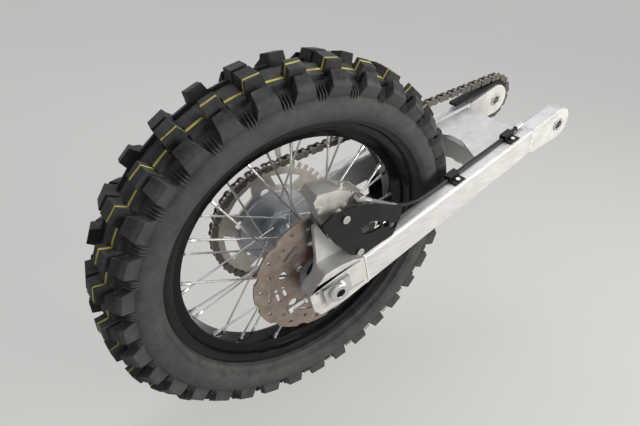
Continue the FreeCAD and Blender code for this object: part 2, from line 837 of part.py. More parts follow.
def make_bearings():
    """Two wheel bearings in the hub."""
    body = new_body("wheel_bearings_left")
    revolve(body, "left_ring", [
        ("bearing_place + fit_gap", "axle_radius + fit_gap"),
        ("bearing_place + fit_gap", "bearing_outer_radius"),
        ("bearing_place + bearing_width", "bearing_outer_radius"),
        ("bearing_place + bearing_width", "axle_radius + fit_gap"),
    ])
    other = new_body("wheel_bearings_right")
    revolve(other, "right_ring", [
        ("-(bearing_place + fit_gap)", "axle_radius + fit_gap"),
        ("-(bearing_place + fit_gap)", "bearing_outer_radius"),
        ("-(bearing_place + bearing_width)", "bearing_outer_radius"),
        ("-(bearing_place + bearing_width)", "axle_radius + fit_gap"),
    ])


def make_sprocket():
    """Toothed ring with windows, its teeth where the chain's rollers leave room."""
    body = new_body("sprocket")
    pitch_radius = "(chain_pitch / (2 * sin(180 / tooth_count)))"
    left = "chain_line + sprocket_thickness / 2"
    round_slab(body, "blank", "0", "0", pitch_radius + " + tooth_rise", left, "sprocket_thickness")
    sketch = new_sketch(body, "tooth_gap_outline", "XZ_Plane")
    add_loop(sketch, [
        ("-tooth_gap_root / 2", pitch_radius + " - tooth_gap_depth"),
        ("tooth_gap_root / 2", pitch_radius + " - tooth_gap_depth"),
        ("tooth_gap_mouth / 2", pitch_radius + " + tooth_rise + cut_spare"),
        ("-tooth_gap_mouth / 2", pitch_radius + " + tooth_rise + cut_spare"),
    ])
    gap = pocket_through(body, "tooth_gap", sketch)
    ring_pattern(body, "tooth_gaps", [gap], "tooth_count")
    bore(body, "centre", [("0", "0", "sprocket_bore_radius")])
    window = new_sketch(body, "window_outline", "XZ_Plane")
    middle = "180 / sprocket_bolts"
    add_loop(window, [
        polar("sprocket_window_low", middle + " - sprocket_window_low_angle"),
        polar("sprocket_window_low", middle + " + sprocket_window_low_angle"),
        polar("sprocket_window_high", middle + " + sprocket_window_high_angle"),
        polar("sprocket_window_high", middle),
        polar("sprocket_window_high", middle + " - sprocket_window_high_angle"),
    ])
    cut = pocket_through(body, "window", window)
    eye = new_sketch(body, "eye_circle", "XZ_Plane")
    add_circle(eye, "0", "sprocket_hole_circle", "sprocket_hole_radius")
    hole = pocket_through(body, "eye", eye)
    ring_pattern(body, "openings", [cut, hole], "sprocket_bolts")
    return body


def chain_track():
    """The chain's path: its arcs, its lean, its pitch and the even count of links that closes it."""
    pitch_radius = size("chain_pitch") / (2.0 * math.sin(math.pi / size("tooth_count")))
    arc_pitch = 2.0 * math.pi * pitch_radius / size("tooth_count")
    reach = size("arm_length")

    def path_length(front):
        lean = math.asin((pitch_radius - front) / reach)
        run = math.sqrt(reach ** 2 - (pitch_radius - front) ** 2)
        return pitch_radius * (math.pi + 2 * lean) + front * (math.pi - 2 * lean) + 2 * run

    count = 2 * math.ceil(path_length(size("chain_front_radius")) / (2 * arc_pitch))
    low, high = size("chain_front_radius"), pitch_radius
    for step in range(60):
        front = 0.5 * (low + high)
        if path_length(front) > arc_pitch * count:
            high = front
        else:
            low = front
    lean = math.asin((pitch_radius - front) / reach)
    run = math.sqrt(reach ** 2 - (pitch_radius - front) ** 2)
    return pitch_radius, front, lean, run, arc_pitch, count


def chain_point(track, travel):
    """Point and direction of the chain's line at a distance from the rearmost point."""
    pitch_radius, front, lean, run, arc_pitch, count = track
    rear_half = pitch_radius * (0.5 * math.pi + lean)
    front_arc = front * (math.pi - 2 * lean)
    total = 2 * rear_half + front_arc + 2 * run
    travel = travel % total
    reach = size("arm_length")
    if travel < rear_half:
        angle = travel / pitch_radius
        return (Vector(-pitch_radius * math.cos(angle), 0, pitch_radius * math.sin(angle)),
                Vector(math.sin(angle), 0, math.cos(angle)))
    travel -= rear_half
    normal_up = Vector(math.sin(lean), 0, math.cos(lean))
    if travel < run:
        ahead = Vector(math.cos(lean), 0, -math.sin(lean))
        return normal_up * pitch_radius + ahead * travel, ahead
    travel -= run
    if travel < front_arc:
        angle = 0.5 * math.pi - lean - travel / front
        return (Vector(reach + front * math.cos(angle), 0, front * math.sin(angle)),
                Vector(math.sin(angle), 0, -math.cos(angle)))
    travel -= front_arc
    normal_down = Vector(math.sin(lean), 0, -math.cos(lean))
    if travel < run:
        back = Vector(-math.cos(lean), 0, -math.sin(lean))
        return Vector(reach, 0, 0) + normal_down * front + back * travel, back
    travel -= run
    angle = -(0.5 * math.pi + lean) + travel / pitch_radius
    return (Vector(-pitch_radius * math.cos(angle), 0, pitch_radius * math.sin(angle)),
            Vector(math.sin(angle), 0, math.cos(angle)))


def make_chain():
    """Closed roller chain: inner links in one piece with their rollers, outer links as pairs of plates."""
    track = chain_track()
    arc_pitch = track[4]
    count = track[5]
    line = size("chain_line")
    inner_half = 0.5 * size("sprocket_thickness") + size("tooth_side_gap")
    plate = size("link_plate")
    spare = size("cut_spare")
    solids = []
    for i in range(count):
        here = chain_point(track, i * arc_pitch)[0]
        there = chain_point(track, (i + 1) * arc_pitch)[0]
        along = there.sub(here)
        length = along.Length
        angle = math.degrees(math.atan2(along.z, along.x))
        if i % 2 == 0:
            reach = size("roller_half_length")
            half = 0.5 * size("inner_plate_height")
            link = block(Vector(-reach, line - inner_half - plate, -half),
                         Vector(length + reach, line + inner_half + plate, half))
            hole = block(Vector(reach, line - inner_half, -half - spare),
                         Vector(length - reach, line + inner_half, half + spare))
            parts = [link.cut(hole)]
        else:
            reach = size("plate_overhang")
            half = 0.5 * size("outer_plate_height")
            side = inner_half + plate + size("seat_gap")
            parts = [block(Vector(-reach, line + side, -half), Vector(length + reach, line + side + plate, half)),
                     block(Vector(-reach, line - side - plate, -half), Vector(length + reach, line - side, half))]
        for solid in parts:
            solid.rotate(Vector(0, 0, 0), Vector(0, 1, 0), -angle)
            solid.translate(here)
            solids.append(solid)
    new_feature("chain", Part.makeCompound(solids))
    return track


def make_disc():
    """Petal brake disc with arms, slots and holes."""
    body = new_body("brake_disc")
    left = "-disc_place + disc_thickness / 2"
    round_slab(body, "plate", "0", "0", "disc_radius", left, "disc_thickness")
    petal = new_sketch(body, "petal_circle", "XZ_Plane")
    add_circle(petal, "0", "disc_radius + petal_radius - petal_depth", "petal_radius")
    cut = pocket_through(body, "petal", petal)
    ring_pattern(body, "petals", [cut], "disc_petals")
    slots = new_sketch(body, "slot_outlines", "XZ_Plane")
    for near in ("disc_slot_near", "disc_slot_far"):
        far = near + " + disc_slot_width"
        low, high = "disc_slot_place_angle - disc_slot_angle", "disc_slot_place_angle + disc_slot_angle"
        add_loop(slots, [polar(near, low), polar(near, "disc_slot_place_angle"), polar(near, high),
                         polar(far, high), polar(far, "disc_slot_place_angle"), polar(far, low)])
    slot = pocket_through(body, "slot", slots)
    eyes = new_sketch(body, "eye_circle", "XZ_Plane")
    add_circle(eyes, "0", "disc_eye_circle", "disc_eye_radius")
    eye = pocket_through(body, "eye", eyes)
    ring_pattern(body, "openings", [slot, eye], "disc_sectors")
    bore(body, "centre", [("0", "0", "disc_bore_radius")])
    holes = new_sketch(body, "hole_circles", "XZ_Plane")
    add_circle(holes, "0", "disc_hole_near", "disc_hole_radius")
    add_circle(holes, *polar("disc_hole_far", "disc_hole_offset_angle"), "disc_hole_radius")
    hole = pocket_through(body, "hole", holes)
    ring_pattern(body, "holes", [hole], "disc_petals")
    return body


def make_bolt_ring(label, count, circle, face, side):
    """Ring of button heads on one face, as one piece per ring."""
    solids = []
    for i in range(int(size(count))):
        angle = 2.0 * math.pi * (i + 0.5) / int(size(count))
        centre = Vector(size(circle) * math.sin(angle), face, size(circle) * math.cos(angle))
        end = centre + Vector(0, side * size("small_head_height"), 0)
        solids.append(rod(centre, end, size("small_head_radius")))
    new_feature(label, Part.makeCompound(solids))


def make_wheel():
    """Everything that turns."""
    make_tyre()
    make_rim()
    make_spokes()
    make_hub()
    make_bearings()
    make_sprocket()
    make_disc()
    gear_left = size("chain_line") + 0.5 * size("sprocket_thickness") + size("seat_gap")
    make_bolt_ring("sprocket_bolts", "sprocket_bolts", "sprocket_bolt_circle", gear_left, 1)
    disc_right = -size("disc_place") - 0.5 * size("disc_thickness") - size("seat_gap")
    make_bolt_ring("disc_bolts", "disc_bolts", "disc_bolt_circle", disc_right, -1)


# Axle and its ends

def make_axle():
    """Hollow axle with its head on the right."""
    body = new_body("axle")
    face = "beam_outer_rear + seat_gap + block_plate + seat_gap"
    tail = "(" + face + " + axle_nut_length + axle_thread_spare)"
    revolve(body, "shaft", [
        ("-(" + face + " + axle_head_length)", "axle_bore_radius"),
        ("-(" + face + " + axle_head_length)", "axle_head_radius - axle_head_edge"),
        ("-(" + face + " + axle_head_length - axle_head_edge)", "axle_head_radius"),
        ("-(" + face + ")", "axle_head_radius"),
        ("-(" + face + ")", "axle_radius"),
        (tail, "axle_radius"),
        (tail, "axle_bore_radius"),
    ])
    nut = new_body("axle_nut")
    flats = "axle_nut_flats / 2"
    corner = "axle_nut_flats / 2 / cos(30)"
    slab(nut, "hexagon", [
        (corner, "0"), (corner + " / 2", flats), ("-" + corner + " / 2", flats),
        ("-" + corner, "0"), ("-" + corner + " / 2", "-" + flats), (corner + " / 2", "-" + flats),
    ], face + " + axle_nut_length", "axle_nut_length")
    bore(nut, "thread", [("0", "0", "axle_radius + fit_gap")])


def make_collars():
    """Collars that the axle clamps between bearings and arm."""
    inner = "bearing_place + bearing_width + seat_gap"
    left = new_body("collar_left")
    revolve(left, "left_collar", [
        (inner, "axle_radius + fit_gap"), (inner, "collar_radius"),
        ("beam_outer_rear - beam_width - seat_gap", "collar_radius"),
        ("beam_outer_rear - beam_width - seat_gap", "axle_radius + fit_gap"),
    ])
    right = new_body("collar_right")
    reach = "beam_outer_rear - beam_width - bracket_thickness - 2 * seat_gap"
    revolve(right, "right_collar", [
        ("-(" + inner + ")", "axle_radius + fit_gap"), ("-(" + inner + ")", "collar_radius"),
        ("-(" + reach + ")", "collar_radius"),
        ("-(" + reach + ")", "axle_radius + fit_gap"),
    ])


def make_axle_end(label, left):
    """Cast end of one beam with the slot for the axle."""
    body = new_body(label)
    corners = outline("ending")
    front = [("beam_rear - seat_gap", "-end_front_low"), ("beam_rear - seat_gap", "end_front_high")]
    slab(body, "casting", corners[:4] + front + corners[4:], left, "beam_width")
    soften(body, "rounded", "edge_round", ALONG_Y, lambda p: p.x < size("beam_rear") - size("edge_round"))
    slot = new_sketch(body, "slot_outline", "XZ_Plane")
    add_loop(slot, [
        ("-slot_half_length", "-slot_half_height"), ("slot_half_length", "-slot_half_height"),
        ("slot_half_length", "slot_half_height"), ("-slot_half_length", "slot_half_height"),
    ])
    pocket_through(body, "slot", slot)
    hole = new_sketch(body, "adjuster_circle", "YZ_Plane", "-slot_half_length")
    add_circle(hole, left + " - beam_width / 2", "0", "adjuster_radius + fit_gap")
    pocket_down(body, "adjuster_hole", hole, "beam_rear", False)
    outside = "-(" + left + ")" if left[0] != "-" else "beam_outer_rear"
    ridges = new_sketch(body, "ridge_outlines", "XZ_Plane", outside)
    for low in ("ridge_high", "ridge_low - ridge_width"):
        add_loop(ridges, [("ridge_rear", low), ("ridge_front", low),
                          ("ridge_front - ridge_width", low + " + ridge_width"),
                          ("ridge_rear", low + " + ridge_width")])
    pocket_down(body, "ridges", ridges, "ridge_depth", left[0] != "-")
    bore(body, "end_hole", [("end_hole_x", "end_hole_z", "end_hole_radius")])
    return body


def make_block(label, side):
    """Axle block: a plate outside the casting and a tongue in its slot."""
    body = new_body(label)
    if side > 0:
        left = "beam_outer_rear + seat_gap + block_plate"
        tongue = "beam_outer_rear + seat_gap"
    else:
        left = "-(beam_outer_rear + seat_gap)"
        tongue = "-(beam_outer_rear + seat_gap) + tongue_depth"
    slab(body, "plate", [
        ("-block_half_length", "-block_half_height"), ("block_half_length", "-block_half_height"),
        ("block_half_length", "block_half_height"), ("-block_half_length", "block_half_height"),
    ], left, "block_plate")
    half = "slot_half_height - seat_gap"
    slab(body, "tongue", [
        ("-tongue_half_length", "-(" + half + ")"), ("tongue_half_length", "-(" + half + ")"),
        ("tongue_half_length", half), ("-tongue_half_length", half),
    ], tongue, "tongue_depth")
    bore(body, "axle_hole", [("0", "0", "axle_radius + fit_gap")])
    return body


def hexagon_bar(start, end, flats):
    """Six-sided bar given by its width across flats."""
    return rod(start, end, flats / 2.0 / math.cos(math.pi / 6.0))


def make_adjusters():
    """Adjuster bolts and their lock nuts behind both casting ends."""
    tip = -size("tongue_half_length") - size("seat_gap")
    rear = tip - size("adjuster_length")
    wall = min(size("ending_rear_low_x"), size("ending_rear_high_x")) - size("seat_gap")
    bolts, nuts = [], []
    for side in (-1, 1):
        y = side * (size("beam_outer_rear") - size("beam_width") / 2.0)
        shank = Part.makeCylinder(size("adjuster_radius"), size("adjuster_length"),
                                  Vector(rear, y, 0), Vector(1, 0, 0))
        head = hexagon_bar(Vector(rear - size("adjuster_head_height"), y, 0), Vector(rear, y, 0),
                           size("adjuster_head_flats"))
        bolts.append(shank.fuse(head))
        nut = hexagon_bar(Vector(wall - size("adjuster_nut_height"), y, 0), Vector(wall, y, 0),
                          size("adjuster_head_flats"))
        hole = Part.makeCylinder(size("adjuster_radius") + size("fit_gap"),
                                 size("adjuster_nut_height") + 2 * size("cut_spare"),
                                 Vector(wall - size("adjuster_nut_height") - size("cut_spare"), y, 0),
                                 Vector(1, 0, 0))
        nuts.append(nut.cut(hole))
    new_feature("adjuster_bolts", Part.makeCompound(bolts))
    new_feature("adjuster_nuts", Part.makeCompound(nuts))


# Arm

def beam_section(side, outer, low):
    """Chamfered box section of a beam as corners across and up."""
    c = "beam_chamfer"
    sign = "" if side > 0 else "-"
    outer = "(" + outer + ")"
    inner = "(" + outer + " - beam_width)"
    return [
        (sign + outer, "-" + low + " + " + c), (sign + outer, "beam_top - " + c),
        (sign + "(" + outer + " - " + c + ")", "beam_top"), (sign + "(" + inner + " + " + c + ")", "beam_top"),
        (sign + inner, "beam_top - " + c), (sign + inner, "-" + low + " + " + c),
        (sign + "(" + inner + " + " + c + ")", "-" + low), (sign + "(" + outer + " - " + c + ")", "-" + low),
    ]


def make_beam(label, side):
    """Tapering beam between the axle end and the pivot end."""
    body = new_body(label)
    rear = new_sketch(body, "rear_section", "YZ_Plane", "beam_rear")
    add_loop(rear, beam_section(side, "beam_outer_rear", "beam_low_rear"))
    front = new_sketch(body, "front_section", "YZ_Plane", "beam_front")
    add_loop(front, beam_section(side, "beam_outer_front", "beam_low_front"))
    loft = body.newObject("PartDesign::AdditiveLoft", "beam")
    loft.Profile = rear
    loft.Sections = [front]
    loft.Ruled = True
    body.Tip = loft
    return body


def make_pivot_end(label, side):
    """Front end of one beam with its pivot boss."""
    body = new_body(label)
    left = "beam_outer_front" if side > 0 else "-(beam_outer_front - beam_width)"
    slab(body, "cheek", [
        ("beam_front + seat_gap", "-beam_low_front"), ("arm_length", "-boss_radius"),
        ("arm_length", "boss_radius"), ("beam_front + seat_gap", "beam_top"),
    ], left, "beam_width")
    round_slab(body, "boss", "arm_length", "0", "boss_radius", left, "beam_width")
    bore(body, "bearing_hole", [("arm_length", "0", "pivot_sleeve_radius + fit_gap")])
    return body


def make_sleeves():
    """Pivot sleeves in both bosses."""
    sleeves = []
    outer = size("beam_outer_front") + size("sleeve_overhang")
    inner = size("beam_outer_front") - size("beam_width") - size("sleeve_overhang")
    for side in (-1, 1):
        start = Vector(size("arm_length"), side * inner, 0)
        way = Vector(0, side, 0)
        ring = Part.makeCylinder(size("pivot_sleeve_radius"), outer - inner, start, way)
        hole = Part.makeCylinder(size("pivot_bore_radius"), outer - inner, start, way)
        sleeves.append(ring.cut(hole))
    new_feature("pivot_sleeves", Part.makeCompound(sleeves))


def make_cross():
    """Cross member between the beams in front of the tyre, with the lugs of the linkage below."""
    body = new_body("arm_crossmember")
    taper = "(beam_outer_rear - beam_outer_front) / (beam_front - beam_rear)"
    rear_half = "(beam_outer_rear - (cross_wing - beam_rear) * " + taper + " - beam_width - seat_gap)"
    front_half = "(beam_outer_rear - (cross_front - beam_rear) * " + taper + " - beam_width - seat_gap)"
    sketch = new_sketch(body, "plan", "XY_Plane", "-cross_low")
    add_loop(sketch, [
        ("cross_wing", "-" + rear_half), ("cross_front", "-" + front_half),
        ("cross_front", front_half), ("cross_wing", rear_half),
        ("cross_rear", "cross_hollow_half"), ("cross_rear", "-cross_hollow_half"),
    ])
    pad(body, "box", sketch, "cross_low + cross_top")
    wall_edge = "min(cross_edge; (cross_front - cross_rear) / 4)"
    soften(body, "edges", wall_edge, ALONG_Y, None, "PartDesign::Chamfer")
    for side, left in (("left", "lug_spread / 2 + lug_thickness"), ("right", "-lug_spread / 2")):
        slab(body, side + "_lug", [
            ("lug_place - lug_radius", "-lug_drop"), ("lug_place + lug_radius", "-lug_drop"),
            ("lug_place + 2 * lug_radius", "-cross_low + edge_round"),
            ("lug_place - 2 * lug_radius", "-cross_low + edge_round"),
        ], left, "lug_thickness")
        round_slab(body, side + "_eye", "lug_place", "-lug_drop", "lug_radius", left, "lug_thickness")
    bore(body, "lug_bore", [("lug_place", "-lug_drop", "lug_bore_radius")])
    return body


# Brake

# Straight steps along an arc of the caliper and its pads.
ARC_STEPS = 4


def arc_points(centre_angle, half_angle, inner, outer, steps):
    """Corners of a ring sector seen along Y, in degrees from forward towards up."""
    points = []
    for i in range(steps + 1):
        a = math.radians(centre_angle - half_angle + 2.0 * half_angle * i / steps)
        points.append(Vector(outer * math.cos(a), 0, outer * math.sin(a)))
    for i in range(steps, -1, -1):
        a = math.radians(centre_angle - half_angle + 2.0 * half_angle * i / steps)
        points.append(Vector(inner * math.cos(a), 0, inner * math.sin(a)))
    return points


def sector(centre_angle, half_angle, inner, outer, low, high):
    """Ring sector as a solid between two places along Y."""
    points = [p + Vector(0, low, 0) for p in arc_points(centre_angle, half_angle, inner, outer, ARC_STEPS)]
    return Part.Face(Part.makePolygon(points + [points[0]])).extrude(Vector(0, high - low, 0))


def make_bracket():
    """Plate that carries the caliper, held on the axle."""
    body = new_body("caliper_bracket")
    left = "-(beam_outer_rear - beam_width - bracket_thickness - seat_gap)"
    round_slab(body, "ring", "0", "0", "bracket_ring_radius", left, "bracket_thickness")
    slab(body, "arm", outline("bracket"), left, "bracket_thickness")
    round_slab(body, "eye", "bracket_eye_x", "bracket_eye_z", "bracket_eye_radius", left, "bracket_thickness")
    bore(body, "axle_hole", [("0", "0", "axle_radius + fit_gap")])
    return body


def plate(points, low, high):
    """Flat-sided plate between two places along Y from corners seen along Y."""
    ring = [Vector(p.x, low, p.z) for p in points]
    return Part.Face(Part.makePolygon(ring + [ring[0]])).extrude(Vector(0, high - low, 0))


def make_caliper():
    """Caliper over the disc's edge, its piston boss outside, with the two pads in it."""
    place = size("disc_place")
    half = 0.5 * size("disc_thickness")
    gap = size("caliper_slot_gap")
    angle, spread = size("caliper_angle"), size("caliper_half_angle")
    slot_out = place + half + gap
    slot_in = place - half - gap
    face = -slot_out - size("caliper_body_depth")
    corners = dict(zip([c for p, c, forward, above in CORNERS if p == "caliper"], corner_points("caliper")))
    body = plate(corners.values(), face, -slot_out)
    bridge_radius = size("disc_radius") + size("turning_gap")
    arch = arc_points(angle, spread, bridge_radius, bridge_radius, ARC_STEPS)[:ARC_STEPS + 1]
    over = [corners[name] for name in ("rear_high", "top_rear", "top_front", "front_high", "nose_high")]
    bridge = plate(over + arch, -slot_out - size("caliper_bridge_depth"),
                   -slot_in + size("caliper_inboard_depth"))
    inboard = sector(angle, spread, size("caliper_inner_radius"), bridge_radius + size("caliper_bridge_height"),
                     -slot_in, -slot_in + size("caliper_inboard_depth"))
    outward = Vector(0, -1, 0)
    boss = Part.makeCylinder(size("piston_radius"), size("piston_boss_depth"),
                             Vector(size("piston_x"), face, size("piston_z")), outward)
    pins = [Part.makeCylinder(size("pad_pin_radius"), size("pad_pin_depth"),
                              corners[name] * size("pad_pin_share") + Vector(0, face, 0), outward)
            for name in ("top_rear", "front_high")]
    top = (corners["top_front"] + corners["front_high"]) * 0.5
    rise = Vector(top.x, 0, top.z).normalize()
    foot = top - rise * size("bleed_radius") + Vector(0, -slot_out - 0.5 * size("caliper_body_depth"), 0)
    bleed = Part.makeCylinder(size("bleed_radius"), size("bleed_length"), foot, rise)
    solid = body.multiFuse([bridge, inboard, boss, bleed] + pins)
    edge = corners["nose_high"] - corners["front_high"]
    step = edge * (1.0 / (size("caliper_fins") + 1))
    down = Vector(edge.z, 0, -edge.x).normalize() * size("caliper_fin_depth")
    along = Vector(edge.x, 0, edge.z).normalize() * (0.5 * size("caliper_fin_width"))
    for i in range(int(size("caliper_fins"))):
        middle = corners["front_high"] + step * (i + 1)
        groove = plate([middle - along + down, middle + along + down, middle + along - down,
                        middle - along - down], face - size("cut_spare"), 0.0)
        solid = solid.cut(groove)
    new_feature("brake_caliper", solid.removeSplitter())
    pads = []
    for side in (-1, 1):
        near = place + side * (half + size("pad_gap"))
        far = near + side * (gap - size("pad_gap") - size("seat_gap"))
        low, high = sorted((-near, -far))
        pads.append(sector(angle, size("pad_angle"),
                           size("disc_radius") - size("disc_track_width") + size("pad_inset"),
                           size("disc_radius") - size("pad_inset"), low, high))
    new_feature("brake_pads", Part.makeCompound(pads))


def make_guard():
    """Moulded guard outside the caliper."""
    body = new_body("caliper_guard")
    left = "-(beam_outer_rear - guard_inset - guard_thickness)"
    slab(body, "shell", outline("guard"), left, "guard_thickness")
    soften(body, "rounded", "edge_round", ALONG_Y)
    cuts = new_sketch(body, "cut_outs", "XZ_Plane")
    for opening in ("guard_eye", "guard_gap", "guard_slot"):
        add_loop(cuts, outline(opening))
    for place in ("guard_low", "guard_high"):
        add_circle(cuts, place + "_x", place + "_z", "guard_bolt_radius + fit_gap")
    pocket_through(body, "openings", cuts)
    return body


# Hose, slider and guide

def beam_outer_at(forward):
    """Outer face of a beam at a distance ahead of the axle."""
    share = (forward - size("beam_rear")) / (size("beam_front") - size("beam_rear"))
    return size("beam_outer_rear") + share * (size("beam_outer_front") - size("beam_outer_rear"))


def make_guard_posts():
    """Bolts with spacers that hold the guard, and the head of the caliper's slide pin."""
    outward = Vector(0, -1, 0)
    shell_in = size("beam_outer_rear") - size("guard_inset") - size("guard_thickness")
    shell_out = shell_in + size("guard_thickness")
    bracket_face = size("beam_outer_rear") - size("beam_width")
    caliper_face = (size("disc_place") + 0.5 * size("disc_thickness") + size("caliper_slot_gap")
                    + size("caliper_body_depth") + size("seat_gap"))
    solids = []
    for place, near in (("guard_low", bracket_face), ("guard_high", caliper_face)):
        x, z = size(place + "_x"), size(place + "_z")
        spacer = Part.makeCylinder(size("guard_post_radius"), shell_in - size("seat_gap") - near,
                                   Vector(x, -near, z), outward)
        head_face = shell_out + size("seat_gap")
        shank = Part.makeCylinder(size("guard_bolt_radius"), head_face - near, Vector(x, -near, z), outward)
        head = Part.makeCylinder(size("guard_head_radius"), size("guard_head_height"),
                                 Vector(x, -head_face, z), outward)
        solids.append(spacer.multiFuse([shank, head]).removeSplitter())
    solids.append(Part.makeCylinder(size("pin_head_radius"), size("pin_head_height"),
                                    Vector(size("bracket_eye_x"), -bracket_face, size("bracket_eye_z")), outward))
    new_feature("guard_posts", Part.makeCompound(solids))


def rounded_path(points):
    """Straight runs joined by tangent arcs as large as their runs allow."""
    edges = []
    start = points[0]
    radii = []
    for before, corner, after in zip(points, points[1:], points[2:]):
        arriving = corner.sub(before)
        leaving = after.sub(corner)
        shorter = min(arriving.Length, leaving.Length)
        arriving.normalize()
        leaving.normalize()
        turn = math.acos(max(-1.0, min(1.0, arriving.dot(leaving))))
        cut = size("hose_arc_share") * shorter
        radius = cut / math.tan(0.5 * turn)
        first = corner - arriving * cut
        last = corner + leaving * cut
        bisector = leaving.sub(arriving).normalize()
        centre = corner + bisector * (radius / math.cos(0.5 * turn))
        middle = centre - bisector * radius
        edges.append(Part.LineSegment(start, first).toShape())
        edges.append(Part.Arc(first, middle, last).toShape())
        radii.append(radius)
        start = last
    edges.append(Part.LineSegment(start, points[-1]).toShape())
    print("hose radii", [round(r) for r in radii])
    return Part.Wire(edges)


def make_hose():
    """Brake hose along the right beam, held all the way by its clips, with its fittings."""
    points = [Vector(size("hose_" + point + "_x"), -size("hose_" + point + "_y"), size("hose_" + point + "_z"))
              for point, forward, right, above in HOSE_ROUTE]
    path = rounded_path(points)
    way = points[1].sub(points[0])
    ring = Part.Wire(Part.makeCircle(size("hose_radius"), points[0], way))
    tube = path.makePipeShell([ring], True, False)
    print("hose length %.1f" % path.Length, "volume share %.4f"
          % (tube.Volume / (math.pi * size("hose_radius") ** 2 * path.Length)))
    new_feature("brake_hose", tube)
    way.normalize()
    ferrule = Part.makeCylinder(size("ferrule_radius"), size("ferrule_length"),
                                points[0] - way * size("ferrule_length"), way)
    banjo = Part.makeCylinder(size("banjo_radius"), size("banjo_height"),
                              points[0] - way * (size("ferrule_length") + size("banjo_reach"))
                              + Vector(0, 0.5 * size("banjo_height"), 0), Vector(0, -1, 0))
    out = points[-1].sub(points[-2]).normalize()
    front = Part.makeCylinder(size("ferrule_radius"), size("ferrule_length"), points[-1], out)
    new_feature("hose_fittings", Part.makeCompound([ferrule.fuse(banjo), front]))


def make_clips():
    """Saddle clips that hold the hose on the right beam's top face."""
    clips, screws = [], []
    spare = size("cut_spare")
    radius = size("hose_radius") + size("seat_gap")
    floor = size("beam_top") + size("seat_gap")
    lean = math.degrees(math.atan2(size("beam_outer_rear") - size("beam_outer_front"),
                                   size("beam_front") - size("beam_rear")))
    for place in (size("clip_rear_place"), size("clip_front_place")):
        right = beam_outer_at(place) - size("hose_inset")
        top = floor + 2.0 * radius + size("clip_head_space")
        wall = size("clip_wall")
        half = 0.5 * size("clip_length")
        saddle = block(Vector(-half, -radius - wall, floor), Vector(half, radius + wall, top + wall))
        notch = block(Vector(-half - spare, -radius, floor - spare), Vector(half + spare, radius, top))
        foot = block(Vector(-half, -radius - wall - size("clip_foot"), floor),
                     Vector(half, -radius - wall + size("clip_overlap"), floor + wall))
        clip = saddle.cut(notch).fuse(foot)
        middle = -radius - wall - 0.5 * size("clip_foot")
        screw = Part.makeCylinder(size("small_bolt_radius"), size("clip_screw_height"),
                                  Vector(0, middle, floor + wall + size("seat_gap")), Vector(0, 0, 1))
        for solid in (clip, screw):
            solid.rotate(Vector(0, 0, 0), Vector(0, 0, 1), lean)
            solid.translate(Vector(place, -right, 0))
        clips.append(clip)
        screws.append(screw)
    new_feature("hose_clips", Part.makeCompound(clips))
    new_feature("clip_screws", Part.makeCompound(screws))


def make_slider(track):
    """Rubbing block round the front of the left arm, which holds the chain's front arc."""
    front = track[1]
    inner = size("boss_radius") + size("seat_gap")
    chord_middle = front * math.cos(0.5 * track[4] / front)
    outer = chord_middle - 0.5 * size("outer_plate_height") - size("seat_gap")
    line = size("chain_line")
    half = 0.5 * size("slider_width")
    centre = Vector(size("arm_length"), line - half, 0)
    way = Vector(0, 1, 0)
    ring = Part.makeCylinder(outer, 2 * half, centre, way).cut(
        Part.makeCylinder(inner, 2 * half, centre, way))
    rear = size("arm_length") - size("slider_overlap")
    spare = size("cut_spare")
    behind = block(Vector(rear, line - half - spare, -outer - spare),
                   Vector(size("arm_length"), line + half + spare, outer + spare))
    ring = ring.cut(behind)
    upper = block(Vector(rear, line - half, inner), Vector(size("arm_length"), line + half, outer))
    lower = block(Vector(rear, line - half, -outer), Vector(size("arm_length"), line + half, -inner))
    new_feature("chain_slider", ring.multiFuse([upper, lower]).removeSplitter())


def make_guide(track):
    """Guide block round the chain's lower run, on a plate under the left beam."""
    pitch_radius, front, lean, run, arc_pitch, count = track
    start = Vector(math.sin(lean), 0, -math.cos(lean)) * pitch_radius
    place = size("guide_place")
    above = start.z + (place - start.x) * math.tan(lean)
    half_y = (0.5 * size("sprocket_thickness") + size("tooth_side_gap") + 2 * size("link_plate")
              + size("seat_gap") + size("guide_gap"))
    half_z = 0.5 * size("outer_plate_height") + size("guide_gap")
    wall = size("guide_wall")
    half = 0.5 * size("guide_length")
    line = size("chain_line")
    spare = size("cut_spare")
    body = block(Vector(-half, line - half_y - wall, -half_z - wall),
                 Vector(half, line + half_y + wall, half_z + wall))
    body = body.cut(block(Vector(-half - spare, line - half_y, -half_z),
                          Vector(half + spare, line + half_y, half_z)))
    body.rotate(Vector(0, 0, 0), Vector(0, 1, 0), -math.degrees(lean))
    body.translate(Vector(place, 0, above))
    low = size("beam_low_rear")
    reach = size("guide_hanger_half")
    hanger = block(Vector(place - reach, line + half_y + size("seat_gap"), above),
                   Vector(place + reach, line + half_y + wall, -low - size("seat_gap")))
    new_feature("chain_guide", body.fuse(hanger).removeSplitter())


def make_small_wheel_parts():
    """Valve and rim lock on the inside of the rim."""
    seat_radius = size("rim_well_radius") - size("rim_wall") - size("seat_gap")
    angle = math.radians(size("valve_angle"))
    out = Vector(math.sin(angle), 0, math.cos(angle))
    new_feature("valve", Part.makeCylinder(size("valve_radius"), size("valve_length"),
                                           out * (seat_radius - size("valve_length")), out))
    angle = math.radians(size("rim_lock_angle"))
    out = Vector(math.sin(angle), 0, math.cos(angle))
    shank = Part.makeCylinder(size("rim_lock_radius"), size("rim_lock_length"),
                              out * (seat_radius - size("rim_lock_length")), out)
    nut = hexagon_bar(out * (seat_radius - size("rim_lock_nut_height")), out * seat_radius,
                      size("rim_lock_nut_flats"))
    new_feature("rim_lock", shank.fuse(nut))


